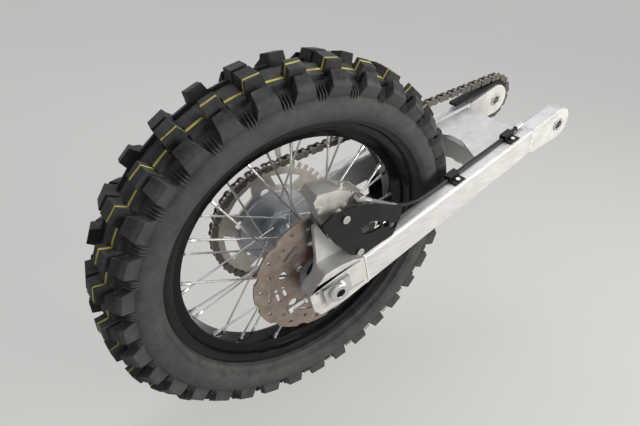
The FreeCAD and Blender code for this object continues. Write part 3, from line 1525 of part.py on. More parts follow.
fill_sheet()
make_wheel()
track = make_chain()
make_axle()
make_collars()
make_axle_end("axle_end_left", "beam_outer_rear")
make_axle_end("axle_end_right", "-(beam_outer_rear - beam_width)")
make_block("axle_block_left", 1)
make_block("axle_block_right", -1)
make_adjusters()
make_beam("arm_beam_left", 1)
make_beam("arm_beam_right", -1)
make_pivot_end("arm_pivot_left", 1)
make_pivot_end("arm_pivot_right", -1)
make_sleeves()
make_cross()
make_bracket()
make_caliper()
make_guard()
make_guard_posts()
make_hose()
make_clips()
make_slider(track)
make_guide(track)
make_small_wheel_parts()
doc.recompute()

bad = [o.Name for o in doc.Objects if "Invalid" in o.State or "Error" in o.State]
bad += [n.Label for n in nodes if n.Shape.isNull() or not n.Shape.isValid()]
if bad:
    raise SystemExit("failed: " + ", ".join(bad))
os.makedirs("parts", exist_ok=True)
for node in nodes:
    node.Shape.exportStep("parts/" + node.Label + ".step")
    print(node.Label, "solids", len(node.Shape.Solids), "faces", len(node.Shape.Faces),
          "cm3 %.1f" % (node.Shape.Volume / 1000.0))
print("chain front arc radius %.2f" % track[1])
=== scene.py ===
"""Looks of the rear wheel and swingarm of an off-road motorcycle."""

import logging
import math
from dataclasses import dataclass, replace
from enum import Enum

import bmesh
import bpy
from mathutils import Matrix, Vector


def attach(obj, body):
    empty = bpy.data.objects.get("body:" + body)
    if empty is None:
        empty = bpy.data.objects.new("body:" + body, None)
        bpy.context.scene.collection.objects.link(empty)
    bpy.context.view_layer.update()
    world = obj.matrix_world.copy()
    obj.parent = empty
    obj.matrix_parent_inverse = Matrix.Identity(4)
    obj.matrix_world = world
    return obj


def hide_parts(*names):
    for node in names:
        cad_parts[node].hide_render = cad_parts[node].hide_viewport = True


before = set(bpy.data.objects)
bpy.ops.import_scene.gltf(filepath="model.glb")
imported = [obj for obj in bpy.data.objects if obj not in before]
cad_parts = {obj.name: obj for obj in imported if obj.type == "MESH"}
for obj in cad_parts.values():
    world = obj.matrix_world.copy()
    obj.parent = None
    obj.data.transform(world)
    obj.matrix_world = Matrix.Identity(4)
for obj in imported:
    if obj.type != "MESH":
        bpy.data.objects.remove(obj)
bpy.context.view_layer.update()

LOG = logging.getLogger("rear_wheel")
MM = 0.001
FULL_TURN = 2.0 * math.pi
WHEEL = "rear_wheel"
ARM = "swingarm"
NOISE_RANGE = (0.3, 0.7)  # nearly all of a noise lies in it
MIX_COLOURS = (6, 7)  # numbers of the Mix node's colour inputs
BEVEL_SEGMENTS = 2
FLAT_WEIGHT = 80

Triple = tuple[float, float, float]
Span = tuple[float, float]
Output = bpy.types.NodeSocket
Material = bpy.types.Material
Mesh = bpy.types.Mesh
Piece = bpy.types.Object


# The arm's own frame


@dataclass(frozen=True)
class ArmFrame:
    """Places along the arm: forward of the wheel's axle, to the left, and above it."""

    length: float = 585.0
    droop: float = math.radians(18.0)

    @property
    def axle(self) -> Vector:
        """Middle of the wheel's axle in metres."""
        ahead, up = math.cos(self.droop), math.sin(self.droop)
        return Vector((-self.length * ahead, 0.0, -self.length * up)) * MM

    @property
    def matrix(self) -> Matrix:
        """Matrix from millimetres along the arm to metres in the row frame.

        Returns:
            The matrix.
        """
        matrix = Matrix.Rotation(-self.droop, 4, "Y") @ Matrix.Scale(MM, 4)
        matrix.translation = self.axle
        return matrix

    def at(self, forward: float, left: float, above: float) -> Vector:
        """Point in metres from its place along the arm in millimetres."""
        return self.matrix @ Vector((forward, left, above))


FRAME = ArmFrame()


# Building materials


class Socket(Enum):
    """Kinds of socket on a node group."""

    NUMBER = "NodeSocketFloat"
    PLACE = "NodeSocketVector"
    COUNT = "NodeSocketInt"
    MESH = "NodeSocketGeometry"
    MATERIAL = "NodeSocketMaterial"


class Graph:
    """Short way to place and join nodes in one tree."""

    def __init__(self, tree: bpy.types.NodeTree) -> None:
        """Keeps the tree that the nodes go into."""
        self.tree = tree

    def socket(self, label: str, kind: Socket,
               way: str = "INPUT") -> bpy.types.NodeTreeInterfaceItem:
        """Gives the tree a named input, or an output where way says so."""
        return self.tree.interface.new_socket(label, in_out=way, socket_type=kind.value)

    def add(self, kind: str, settings: dict | None = None, **values: object) -> bpy.types.Node:
        """Places one node.

        Args:
            kind: The node's type.
            settings: Properties of the node itself.
            values: Inputs by name, with underscores for spaces: values or other nodes' outputs.

        Returns:
            The new node.
        """
        node = self.tree.nodes.new(kind)
        for name, value in (settings or {}).items():
            setattr(node, name, value)
        for name, value in values.items():
            self.feed(node, name.replace("_", " "), value)
        return node

    def feed(self, node: bpy.types.Node, name: str | int, value: object) -> None:
        """Gives one input a value or joins an output to it.

        Args:
            node: The node that takes the value.
            name: The input's name or number.
            value: A number, a tuple or an output socket.
        """
        socket = node.inputs[name]
        if isinstance(value, Output):
            self.tree.links.new(value, socket)
        else:
            socket.default_value = value

    def math(self, operation: str, first: object, second: object = 0.0,
             clamp: bool = False) -> Output:
        """Result of one sum on numbers or outputs.

        Args:
            operation: Name of the operation.
            first: First number or output.
            second: Second number or output.
            clamp: Whether the result stays between 0 and 1.

        Returns:
            The output socket.
        """
        node = self.add("ShaderNodeMath", {"operation": operation, "use_clamp": clamp})
        self.feed(node, 0, first)
        self.feed(node, 1, second)
        return node.outputs[0]

    def times(self, first: object, second: object, clamp: bool = False) -> Output:
        """Product of two numbers or outputs."""
        return self.math("MULTIPLY", first, second, clamp)

    def ramp(self, value: Output, low: float, high: float, start: float = 0.0,
             end: float = 1.0) -> Output:
        """Value spread from one range to another and held at its ends.

        Args:
            value: The output to spread.
            low: Where the range starts.
            high: Where the range ends.
            start: Result at low.
            end: Result at high.

        Returns:
            The output socket.
        """
        node = self.add("ShaderNodeMapRange", {"clamp": True}, From_Min=low, From_Max=high,
                        To_Min=start, To_Max=end, Value=value)
        return node.outputs["Result"]

    def mix(self, share: object, first: Triple | Output, second: Triple | Output) -> Output:
        """Blend of two colours.

        Args:
            share: How much of the second colour shows.
            first: Colour or output.
            second: Colour or output.

        Returns:
            The output socket.
        """
        node = self.add("ShaderNodeMix", {"data_type": "RGBA"})
        self.feed(node, 0, share)
        for index, value in zip(MIX_COLOURS, (first, second)):
            self.feed(node, index, (*value, 1.0) if isinstance(value, tuple) else value)
        return node.outputs[2]

    def place(self) -> Output:
        """Object coordinates of the surface."""
        return self.add("ShaderNodeTexCoord").outputs["Object"]

    def split(self, vector: Output) -> list[Output]:
        """The three parts of a vector."""
        return list(self.add("ShaderNodeSeparateXYZ", Vector=vector).outputs)

    def noise(self, place: Output, scale: object, detail: float, roughness: float = 0.5) -> Output:
        """Soft noise at a place.

        Args:
            place: Where it is read.
            scale: Its size, a number or an output.
            detail: How many finer layers lie on it.
            roughness: How strong these are.

        Returns:
            The output socket.
        """
        node = self.add("ShaderNodeTexNoise", Vector=place, Scale=scale, Detail=detail,
                        Roughness=roughness)
        return node.outputs["Fac"]


class Effects:
    """Node groups for grain, dust and wear that several finishes share.

    A noise is given by its detail and roughness, and a range by the values that it runs between.
    """

    SPECKLE_NOISE = (3.0, 0.6)
    CLOUD_NOISE = (4.0, 0.65)
    DUST_NOISE = (6.0, 0.7)
    DUST_RANGE = (0.35, 0.72)
    UPWARD_RANGE = (-0.4, 1.0, 0.25, 1.0)
    EDGE_RANGE = (0.52, 0.62)
    EDGE_SCALE = 60.0
    EDGE_NOISE = (5.0, 0.7)
    SCRATCH_STRETCH = (1.0, 6.0, 0.35)
    SCRATCH_TURN = (0.4, 0.9, 0.2)
    SCRATCH_NOISE = (2.0, 0.5)
    SCRATCH_RANGE = (0.66, 0.72)

    def __init__(self) -> None:
        """Builds the groups."""
        self.grain = self._grain()
        self.dust = self._dust()
        self.wear = self._wear()

    @staticmethod
    def _group(name: str, inputs: dict[str, float],
               outputs: tuple[str, ...]) -> tuple[Graph, bpy.types.NodeOutputs, bpy.types.Node]:
        """Starts a node group.

        Args:
            name: The group's name.
            inputs: Named numbers with their usual values.
            outputs: Names of the numbers that the group gives.

        Returns:
            The group's graph, its given values and the node that takes its results.
        """
        graph = Graph(bpy.data.node_groups.new(name, "ShaderNodeTree"))
        for label, value in inputs.items():
            graph.socket(label, Socket.NUMBER).default_value = value
        for label in outputs:
            graph.socket(label, Socket.NUMBER, "OUTPUT")
        return graph, graph.add("NodeGroupInput").outputs, graph.add("NodeGroupOutput")

    def _grain(self) -> bpy.types.NodeTree:
        """Fine speckle and broad cloud on one surface.

        Returns:
            The group.
        """
        graph, given, result = self._group("surface_grain", {"Fine": 900.0, "Broad": 25.0},
                                           ("Speckle", "Cloud"))
        place = graph.place()
        fine = graph.noise(place, given["Fine"], *self.SPECKLE_NOISE)
        broad = graph.noise(place, given["Broad"], *self.CLOUD_NOISE)
        graph.feed(result, "Speckle", fine)
        graph.feed(result, "Cloud", graph.ramp(broad, *NOISE_RANGE))
        return graph.tree

    def _dust(self) -> bpy.types.NodeTree:
        """Mask of dust that settles in patches, more on faces that look up.

        Returns:
            The group.
        """
        graph, given, result = self._group("settled_dust", {"Amount": 0.5, "Scale": 30.0},
                                           ("Mask",))
        noise = graph.noise(graph.place(), given["Scale"], *self.DUST_NOISE)
        up = graph.split(graph.add("ShaderNodeNewGeometry").outputs["Normal"])[2]
        patches = graph.times(graph.ramp(up, *self.UPWARD_RANGE),
                              graph.ramp(noise, *self.DUST_RANGE))
        graph.feed(result, "Mask", graph.times(patches, given["Amount"], clamp=True))
        return graph.tree

    def _wear(self) -> bpy.types.NodeTree:
        """Mask of rubbed edges and of thin scratches.

        Returns:
            The group.
        """
        graph, given, result = self._group("edge_wear", {"Edge": 0.6, "Scratch": 160.0},
                                           ("Edges", "Scratches"))
        shape = graph.add("ShaderNodeNewGeometry")
        place = graph.place()
        worn = graph.times(graph.ramp(shape.outputs["Pointiness"], *self.EDGE_RANGE),
                           graph.noise(place, self.EDGE_SCALE, *self.EDGE_NOISE))
        graph.feed(result, "Edges", graph.times(worn, given["Edge"], clamp=True))
        stretched = graph.add("ShaderNodeMapping", Vector=place, Scale=self.SCRATCH_STRETCH,
                              Rotation=self.SCRATCH_TURN)
        lines = graph.noise(stretched.outputs["Vector"], given["Scratch"], *self.SCRATCH_NOISE)
        graph.feed(result, "Scratches", graph.ramp(lines, *self.SCRATCH_RANGE))
        return graph.tree


@dataclass
class Skin:
    """What a material's shader reads so far."""

    colour: Output
    rough: Output
    height: Output


@dataclass(frozen=True)
class Finish:
    """One finish with its colour and the strength of its detail.

    The slot is the record's name for it, and is empty for the floor.
    """

    name: str
    slot: str
    colour: Triple
    metallic: float = 0.0
    roughness: float = 0.5
    rough_spread: float = 0.15
    variation: float = 0.15
    fine: float = 900.0
    broad: float = 25.0
    bump: float = 0.15
    bump_depth: float = 0.0002
    shine: float = 0.5
    dust: float = 0.0
    dust_colour: Triple = (0.30, 0.27, 0.23)
    dust_dulls: float = 0.3
    edge: float = 0.0
    edge_colour: Triple = (0.75, 0.75, 0.74)
    scratches: float = 0.0

    def build(self, effects: Effects) -> Material:
        """Makes the material.

        Args:
            effects: The shared node groups.

        Returns:
            The new material.
        """
        material = bpy.data.materials.new(self.name)
        material.use_nodes = True
        material.node_tree.nodes.clear()
        graph = Graph(material.node_tree)
        shader = graph.add("ShaderNodeBsdfPrincipled", Metallic=self.metallic,
                           Specular_IOR_Level=self.shine)
        grain = graph.add("ShaderNodeGroup", {"node_tree": effects.grain}, Fine=self.fine,
                          Broad=self.broad).outputs
        dark = tuple(c * (1.0 - self.variation) for c in self.colour)
        light = tuple(min(1.0, c * (1.0 + self.variation)) for c in self.colour)
        low = self.roughness * (1.0 - self.rough_spread)
        high = min(1.0, self.roughness * (1.0 + self.rough_spread))
        skin = Skin(graph.mix(grain["Cloud"], dark, light),
                    graph.ramp(grain["Cloud"], 0.0, 1.0, low, high), grain["Speckle"])
        self.pattern(graph, skin)
        if self.edge or self.scratches:
            wear = graph.add("ShaderNodeGroup", {"node_tree": effects.wear}, Edge=self.edge).outputs
            skin.colour = graph.mix(wear["Edges"], skin.colour, self.edge_colour)
            if self.scratches:
                marks = graph.times(wear["Scratches"], self.scratches)
                skin.colour = graph.mix(marks, skin.colour, self.edge_colour)
        if self.dust:
            group = graph.add("ShaderNodeGroup", {"node_tree": effects.dust}, Amount=self.dust)
            cover = group.outputs["Mask"]
            skin.colour = graph.mix(cover, skin.colour, self.dust_colour)
            skin.rough = graph.math("ADD", skin.rough, graph.times(cover, self.dust_dulls),
                                    clamp=True)
        bump = graph.add("ShaderNodeBump", Strength=self.bump, Distance=self.bump_depth,
                         Height=skin.height)
        graph.feed(shader, "Base Color", skin.colour)
        graph.feed(shader, "Roughness", skin.rough)
        graph.feed(shader, "Normal", bump.outputs["Normal"])
        graph.add("ShaderNodeOutputMaterial", Surface=shader.outputs["BSDF"])
        return material

    def pattern(self, graph: Graph, skin: Skin) -> None:
        """Adds a finish's own pattern to its skin; none here."""


@dataclass(frozen=True)
class BrushedMetal(Finish):
    """Metal with fine brushed lines and duller streaks along the arm."""

    strength: float = 0.85
    squeeze: Triple = (0.03, 1.0, 1.0)
    line_scale: float = 1100.0
    line_noise: Span = (5.0, 0.75)
    line_height: float = 2.0
    streak_scale: float = 210.0
    streak_noise: Span = (4.0, 0.7)
    streak_range: Span = (0.42, 0.68)
    streak_share: float = 0.42
    streak_dark: float = 0.45

    def pattern(self, graph: Graph, skin: Skin) -> None:
        """Adds the lines and the streaks.

        Args:
            graph: The material's graph.
            skin: The skin, whose colour and height change.
        """
        along = graph.add("ShaderNodeMapping", Vector=graph.place(),
                          Rotation=(0.0, FRAME.droop, 0.0), Scale=self.squeeze).outputs["Vector"]
        lines = graph.noise(along, self.line_scale, *self.line_noise)
        streaks = graph.noise(along, self.streak_scale, *self.streak_noise)
        share = graph.ramp(streaks, *self.streak_range, 0.0, self.strength * self.streak_share)
        dull = tuple(c * self.streak_dark for c in self.colour)
        skin.colour = graph.mix(share, skin.colour, dull)
        skin.height = graph.math("ADD", graph.times(skin.height, 1.0 - self.strength),
                                 graph.times(lines, self.strength * self.line_height))


@dataclass(frozen=True)
class TreadRubber(Finish):
    """Rubber of the tyre with its thin painted line and dusty side walls.

    Places are millimetres across the tread or from the axle, and a noise is a scale and a detail.
    """

    wall_low: float = 280.0
    wall_high: float = 296.0
    wall_inner: float = 55.0
    wall_outer: float = 58.5
    wall_dust: float = 0.42
    wall_patches: Span = (0.6, 1.0)
    wall_colour: Triple = (0.135, 0.134, 0.131)
    rub_noise: Span = (90.0, 3.0)
    line_place: float = -28.0
    line_wander: float = 1.6
    line_bend_noise: Span = (22.0, 1.0)
    line_half_width: float = 1.6
    line_blur: float = 0.25
    line_low: float = 301.0
    line_rubbed: tuple[float, ...] = (0.30, 0.42, 0.25, 1.0)
    line_colour: Triple = (0.84, 0.72, 0.16)

    def pattern(self, graph: Graph, skin: Skin) -> None:
        """Dusts the side walls and paints a line round the tread, over blocks and grooves alike.

        Args:
            graph: The material's graph.
            skin: The skin, whose colour changes.
        """
        place = graph.place()
        centred = graph.add("ShaderNodeVectorMath", {"operation": "SUBTRACT"})
        graph.feed(centred, 0, place)
        graph.feed(centred, 1, FRAME.axle)
        ahead, across, up = graph.split(centred.outputs[0])
        radius = graph.math("SQRT", graph.math("ADD", graph.times(ahead, ahead),
                                               graph.times(up, up)))
        half, reach = self.line_half_width * MM, self.line_wander * MM
        bend = graph.noise(place, *self.line_bend_noise)
        wander = graph.ramp(bend, *NOISE_RANGE, -reach, reach)
        beside = graph.math("SUBTRACT", across, self.line_place * MM)
        distance = graph.math("ABSOLUTE", graph.math("SUBTRACT", beside, wander))
        band = graph.ramp(distance, half * (1.0 - self.line_blur), half * (1.0 + self.line_blur),
                          1.0, 0.0)
        high = graph.math("GREATER_THAN", radius, self.line_low * MM)
        rubbed = graph.noise(place, *self.rub_noise)
        cloud = graph.ramp(rubbed, *NOISE_RANGE, *self.wall_patches)
        low = graph.ramp(radius, self.wall_low * MM, self.wall_high * MM, 1.0, 0.0)
        side = graph.ramp(graph.math("ABSOLUTE", across), self.wall_inner * MM,
                          self.wall_outer * MM)
        wall = graph.times(graph.math("MAXIMUM", low, side), graph.times(cloud, self.wall_dust))
        skin.colour = graph.mix(wall, skin.colour, self.wall_colour)
        mask = graph.times(graph.times(band, high), graph.ramp(rubbed, *self.line_rubbed))
        skin.colour = graph.mix(mask, skin.colour, self.line_colour)


@dataclass(frozen=True)
class HoseWithPaintedHighlight(Finish):
    """Hose whose rear end is painted pale grey: a painted highlight that stands for light on the
    glossy hose.
    """

    # Where the painted highlight ends along the arm, how softly it fades, and its pale colour.
    painted_highlight_end: Triple = (150.0, -99.0, 64.0)
    painted_highlight_blend: float = 3.0
    painted_highlight_colour: Triple = (0.24, 0.24, 0.25)

    def pattern(self, graph: Graph, skin: Skin) -> None:
        """Paints a pale highlight on the hose up to a place along the arm.

        Args:
            graph: The material's graph.
            skin: The skin, whose colour changes.
        """
        end = FRAME.at(*self.painted_highlight_end).x
        blend = self.painted_highlight_blend * MM
        # Painted highlight: pale colour on the hose from its rear end up to this place.
        share = graph.ramp(graph.split(graph.place())[0], end - blend, end + blend, 1.0, 0.0)
        skin.colour = graph.mix(share, skin.colour, self.painted_highlight_colour)


# Mesh tools


def written(work: bmesh.types.BMesh, mesh: Mesh) -> Mesh:
    """Writes a working mesh into a mesh.

    Args:
        work: The working mesh, which is freed.
        mesh: The mesh that takes it.

    Returns:
        The mesh.
    """
    work.to_mesh(mesh)
    work.free()
    return mesh


def mesh_of(name: str, points: list, faces: list[tuple[int, ...]]) -> Mesh:
    """Closed mesh whose faces point outwards.

    Args:
        name: The mesh's name.
        points: Its corners.
        faces: The corners of each face by number.

    Returns:
        The mesh.
    """
    mesh = bpy.data.meshes.new(name)
    mesh.from_pydata(points, [], faces)
    work = bmesh.new()
    work.from_mesh(mesh)
    bmesh.ops.recalc_face_normals(work, faces=work.faces)
    return written(work, mesh)


def laid(name: str, shapes: list[tuple[Mesh, Matrix]]) -> Mesh:
    """One mesh from copies of shapes, each set in its own place.

    Args:
        name: The mesh's name.
        shapes: Each shape with the matrix of its place.

    Returns:
        The mesh.
    """
    work = bmesh.new()
    for shape, matrix in shapes:
        copy = shape.copy()
        copy.transform(matrix)
        work.from_mesh(copy)
        bpy.data.meshes.remove(copy)
    return written(work, bpy.data.meshes.new(name))


def shade(mesh: Mesh, angle: float) -> None:
    """Smooth shading with sharp edges over an angle in degrees."""
    mesh.shade_smooth()
    mesh.set_sharp_from_angle(angle=math.radians(angle))


def new_piece(name: str, mesh: Mesh, material: Material) -> Piece:
    """Object of one mesh and one material.

    Args:
        name: The piece's name.
        mesh: Its mesh, placed in the row frame.
        material: Its finish.

    Returns:
        The new object.
    """
    piece = bpy.data.objects.new(name, mesh)
    bpy.context.scene.collection.objects.link(piece)
    mesh.materials.clear()
    mesh.materials.append(material)
    return piece


def settle(piece: Piece) -> Piece:
    """Applies a piece's modifiers.

    Args:
        piece: The piece, whose mesh becomes plain.

    Returns:
        The piece.
    """
    bpy.context.view_layer.update()
    graph = bpy.context.evaluated_depsgraph_get()
    mesh = bpy.data.meshes.new_from_object(piece.evaluated_get(graph), depsgraph=graph)
    if not mesh.materials:
        mesh.materials.append(piece.data.materials[0])
    piece.modifiers.clear()
    piece.data = mesh
    return piece


def hand_over(piece: Piece, body: str, slot: str, *nodes: str) -> None:
    """Lets a piece ride on its body and stand for CAD nodes.

    Args:
        piece: The finished piece.
        body: The body it rides on.
        slot: The record's material slot; not used.
        nodes: CAD nodes that it stands for.
    """
    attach(piece, body)
    if nodes:
        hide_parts(*nodes)
    LOG.info("%s on %s: %d faces", piece.name, body, len(piece.data.polygons))


def soften(piece: Piece, width: float, angle: float) -> None:
    """Rounds a piece's edges and keeps its large faces flat in the light.

    Args:
        piece: The piece, which gets a plain mesh.
        width: Width of the rounded edges in millimetres.
        angle: Edges sharper than this, in degrees, are rounded.
    """
    piece.data.shade_smooth()
    rounding = piece.modifiers.new("rounding", "BEVEL")
    rounding.width = width * MM
    rounding.segments = BEVEL_SEGMENTS
    rounding.limit_method = "ANGLE"
    rounding.angle_limit = math.radians(angle)
    rounding.use_clamp_overlap = True
    flats = piece.modifiers.new("flats", "WEIGHTED_NORMAL")
    flats.mode = "FACE_AREA_WITH_ANGLE"
    flats.weight = FLAT_WEIGHT
    settle(piece)


def turned(name: str, profile: list[Span], steps: int) -> Mesh:
    """Mesh turned about the axle, in millimetres round the axle's middle.

    Args:
        name: The mesh's name.
        profile: Places across and radii of a closed section.
        steps: Faces round the axle.

    Returns:
        The mesh, not yet placed.
    """
    points, faces = [], []
    count = len(profile)
    for step in range(steps):
        angle = FULL_TURN * step / steps
        points += [(radius * math.sin(angle), across, radius * math.cos(angle))
                   for across, radius in profile]
        here, there = step * count, (step + 1) % steps * count
        faces += [(here + i, here + (i + 1) % count, there + (i + 1) % count, there + i)
                  for i in range(count)]
    return mesh_of(name, points, faces)


def tapered_block(low: list[Triple], high: list[Triple]) -> Mesh:
    """Closed block between two loops of points given in millimetres.

    Args:
        low: Corners of the foot in order.
        high: Corners of the top in the same order.

    Returns:
        The mesh in metres.
    """
    count = len(low)
    faces = [tuple(range(count)), tuple(range(count, 2 * count))]
    faces += [(i, (i + 1) % count, count + (i + 1) % count, count + i) for i in range(count)]
    return mesh_of("block", [Vector(p) * MM for p in low + high], faces)


def tube(path: list[Vector], radii: list[float], across: Vector, sides: int = 10) -> Mesh:
    """Closed tube along a path that lies in one plane, in millimetres.

    Args:
        path: Points along its middle.
        radii: Radius at each point.
        across: Direction square to the path's plane.
        sides: Faces round it.

    Returns:
        The mesh in metres.
    """
    last = len(path) - 1
    points, faces = [], []
    for i, point in enumerate(path):
        second = (path[min(i + 1, last)] - path[max(i - 1, 0)]).normalized().cross(across)
        for k in range(sides):
            angle = FULL_TURN * k / sides
            spoke = across * math.cos(angle) + second * math.sin(angle)
            points.append((point + spoke * radii[i]) * MM)
    for i in range(last):
        for k in range(sides):
            here, there = i * sides, (i + 1) * sides
            after = (k + 1) % sides
            faces.append((here + k, here + after, there + after, there + k))
    faces += [tuple(reversed(range(sides))), tuple(range(last * sides, len(path) * sides))]
    return mesh_of("tube", points, faces)


def joined(name: str, pieces: list[Piece]) -> Piece:
    """One object from several.

    Args:
        name: The new piece's name.
        pieces: The objects to join; they are removed.

    Returns:
        The joined object.
    """
    material = pieces[0].data.materials[0]
    mesh = laid(name, [(piece.data, Matrix()) for piece in pieces])
    for piece in pieces:
        bpy.data.objects.remove(piece)
    return new_piece(name, mesh, material)


class RingRepeat:
    """Geometry Nodes tree that repeats a shape round the axle and sets it in its place."""

    INPUTS = {"Shape": Socket.MESH, "Count": Socket.COUNT, "Place": Socket.PLACE,
              "Turn": Socket.NUMBER, "Finish": Socket.MATERIAL}

    def __init__(self) -> None:
        """Builds the tree."""
        self.tree = bpy.data.node_groups.new("ring_repeat", "GeometryNodeTree")
        graph = Graph(self.tree)
        self.keys = {label: graph.socket(label, kind).identifier
                     for label, kind in self.INPUTS.items()}
        graph.socket("Result", Socket.MESH, "OUTPUT")
        given = graph.add("NodeGroupInput").outputs
        points = graph.add("GeometryNodePoints", Count=given["Count"])
        index = graph.add("GeometryNodeInputIndex")
        step = graph.math("DIVIDE", FULL_TURN, given["Count"])
        angle = graph.math("ADD", graph.times(index.outputs[0], step), given["Turn"])
        turn = graph.add("ShaderNodeCombineXYZ", Y=angle)
        repeat = graph.add("GeometryNodeInstanceOnPoints", Points=points.outputs[0],
                           Instance=given["Shape"], Rotation=turn.outputs[0])
        placed = graph.add("GeometryNodeTransform", Geometry=repeat.outputs[0],
                           Translation=given["Place"])
        real = graph.add("GeometryNodeRealizeInstances", Geometry=placed.outputs[0])
        dressed = graph.add("GeometryNodeSetMaterial", Geometry=real.outputs[0],
                            Material=given["Finish"])
        graph.add("NodeGroupOutput", Result=dressed.outputs[0])

    def run(self, name: str, shape: Mesh, count: int, material: Material) -> Piece:
        """Repeats a mesh drawn in metres round the axle, from the arm's own upward line on.

        Args:
            name: The piece's name.
            shape: One part of the pattern, drawn at the top of the wheel round the origin.
            count: How often it repeats.
            material: Its finish.

        Returns:
            The new object with a plain mesh.
        """
        piece = new_piece(name, shape, material)
        modifier = piece.modifiers.new("ring", "NODES")
        modifier.node_group = self.tree
        for label, value in (("Count", count), ("Place", tuple(FRAME.axle)),
                             ("Turn", -FRAME.droop), ("Finish", material)):
            modifier[self.keys[label]] = value
        return settle(piece)


# Wheel


@dataclass(frozen=True)
class Block:
    """One tread block, the same on both halves of the tyre.

    Its lengths are in millimetres, and its share and row are counted in rows.
    """

    inner: float
    outer: float
    foot: float
    share: float
    inner_drop: float
    outer_drop: float
    row: float = 0.0
    taper: float = 3.0
    turn: float = 0.0


@dataclass(frozen=True)
class Tyre:
    """Knobbed tyre: a round casing and blocks in rows that alternate.

    The section and its levels are places across the tread with their drops below the crown. A
    block's numbers come in the order of its fields. The bar lies in the groove between two rows,
    and the ribs stand between two edge blocks.
    """

    outer: float = 334.4
    block_height: float = 17.0
    block_root: float = 2.5
    rows: int = 34
    casing_steps: int = 5
    bead: float = 29.2
    bead_seat: float = 231.6
    rounding: float = 2.0
    rounded_over: float = 30.0
    rib_rows: tuple[float, ...] = (0.41, 0.5, 0.59)
    inner_taper: float = 0.7
    section: tuple[Span, ...] = (
        (0.0, 0.0), (12.0, 1.6), (24.0, 5.4), (33.0, 9.6), (41.0, 14.8), (48.0, 21.2),
        (53.0, 26.8), (56.4, 31.6), (58.7, 37.5), (59.8, 44.0), (59.9, 50.5), (58.9, 56.6),
        (56.2, 61.6), (53.4, 64.6), (53.0, 65.8), (51.8, 66.0), (46.6, 69.4), (41.6, 72.2),
        (41.2, 73.2), (40.0, 73.3), (34.6, 74.9), (bead, 74.9))
    levels: tuple[Span, ...] = (
        (0.0, 0.0), (12.0, 1.6), (24.0, 5.4), (41.0, 14.8), (53.0, 26.8), (56.4, 31.6),
        (60.0, 44.0))
    blocks: tuple[Block, ...] = (
        Block(1.5, 33.0, 33.0, 0.58, 0.4, 4.4, turn=0.05),
        Block(16.0, 41.0, 41.0, 0.58, 1.4, 7.5, 1.0, turn=-0.08),
        Block(43.0, 62.3, 55.6, 0.66, 14.0, 31.0, 0.0, 3.4, 0.04),
        Block(43.5, 62.3, 55.6, 0.60, 14.4, 30.0, 1.0, 3.4, -0.04))
    bar: Block = Block(13.0, 37.0, 37.0, 0.50, 13.2, 22.0, 0.5, 2.0)
    rib: Block = Block(46.0, 58.8, 57.4, 0.045, 31.0, 42.0, 0.0, 0.5)

    @property
    def crown(self) -> float:
        """Radius of the casing at the middle of the tread."""
        return self.outer - self.block_height

    def casing_profile(self) -> list[Span]:
        """Closed section of the casing from one bead to the other.

        Returns:
            Places across and radii.
        """
        right = [(across, self.crown - drop) for across, drop in self.section]
        right.append((self.bead, self.bead_seat))
        return right + [(-across, radius) for across, radius in reversed(right)][:-1]

    def casing_radius(self, across: float) -> float:
        """Radius of the casing's outside under a block.

        Args:
            across: Place across the tread.

        Returns:
            The radius.
        """
        for (near, shallow), (far, deep) in zip(self.levels, self.levels[1:]):
            if across <= far:
                return self.crown - shallow - (deep - shallow) * (across - near) / (far - near)
        return self.crown - self.levels[-1][1]

    def block(self, form: Block, side: float) -> Mesh:
        """One tread block.

        Args:
            form: The block's sizes.
            side: 1 for the left half and -1 for the right.

        Returns:
            The block's mesh at the top of the wheel, in metres round the axle.
        """
        half = self.crown * math.pi / self.rows * form.share
        slope = form.taper / self.block_height
        foot_radius = self.casing_radius(form.foot) - self.block_root
        section = ((form.inner, self.casing_radius(form.inner) - self.block_root),
                   (form.foot, foot_radius), (form.outer, self.outer - form.outer_drop),
                   (form.inner + form.taper * self.inner_taper, self.outer - form.inner_drop))
        middle = 0.5 * (form.inner + form.outer)
        ends = []
        for end in (-1.0, 1.0):
            ends.append([(end * (half - slope * (radius - foot_radius))
                          + form.turn * (across - middle), side * across, radius)
                         for across, radius in section])
        return tapered_block(*ends)

    def period(self) -> Mesh:
        """Blocks of two rows, which repeat round the tyre.

        Returns:
            The mesh in metres round the axle.
        """
        forms = list(self.blocks)
        for row in (0.0, 1.0):
            forms.append(replace(self.bar, row=row + self.bar.row))
            forms += [replace(self.rib, row=row + place) for place in self.rib_rows]
        return laid("tread_period", [
            (self.block(form, side), Matrix.Rotation(FULL_TURN * form.row / self.rows, 4, "Y"))
            for side in (-1.0, 1.0) for form in forms])

    def build(self, ring: RingRepeat, material: Material) -> None:
        """Makes the casing and the blocks as one piece.

        Args:
            ring: The tree that repeats a shape round the axle.
            material: The rubber.
        """
        casing = turned("casing", self.casing_profile(), self.rows * self.casing_steps)
        casing.transform(Matrix.Translation(FRAME.axle) @ Matrix.Scale(MM, 4))
        casing.shade_smooth()
        body = new_piece("tyre_casing", casing, material)
        sample = new_piece("tread_sample", self.period(), material)
        soften(sample, self.rounding, self.rounded_over)
        blocks = ring.run("tread_blocks", sample.data, self.rows // 2, material)
        bpy.data.objects.remove(sample)
        hand_over(joined("tyre_rubber", [body, blocks]), WHEEL, "tyre_rubber", "tyre")


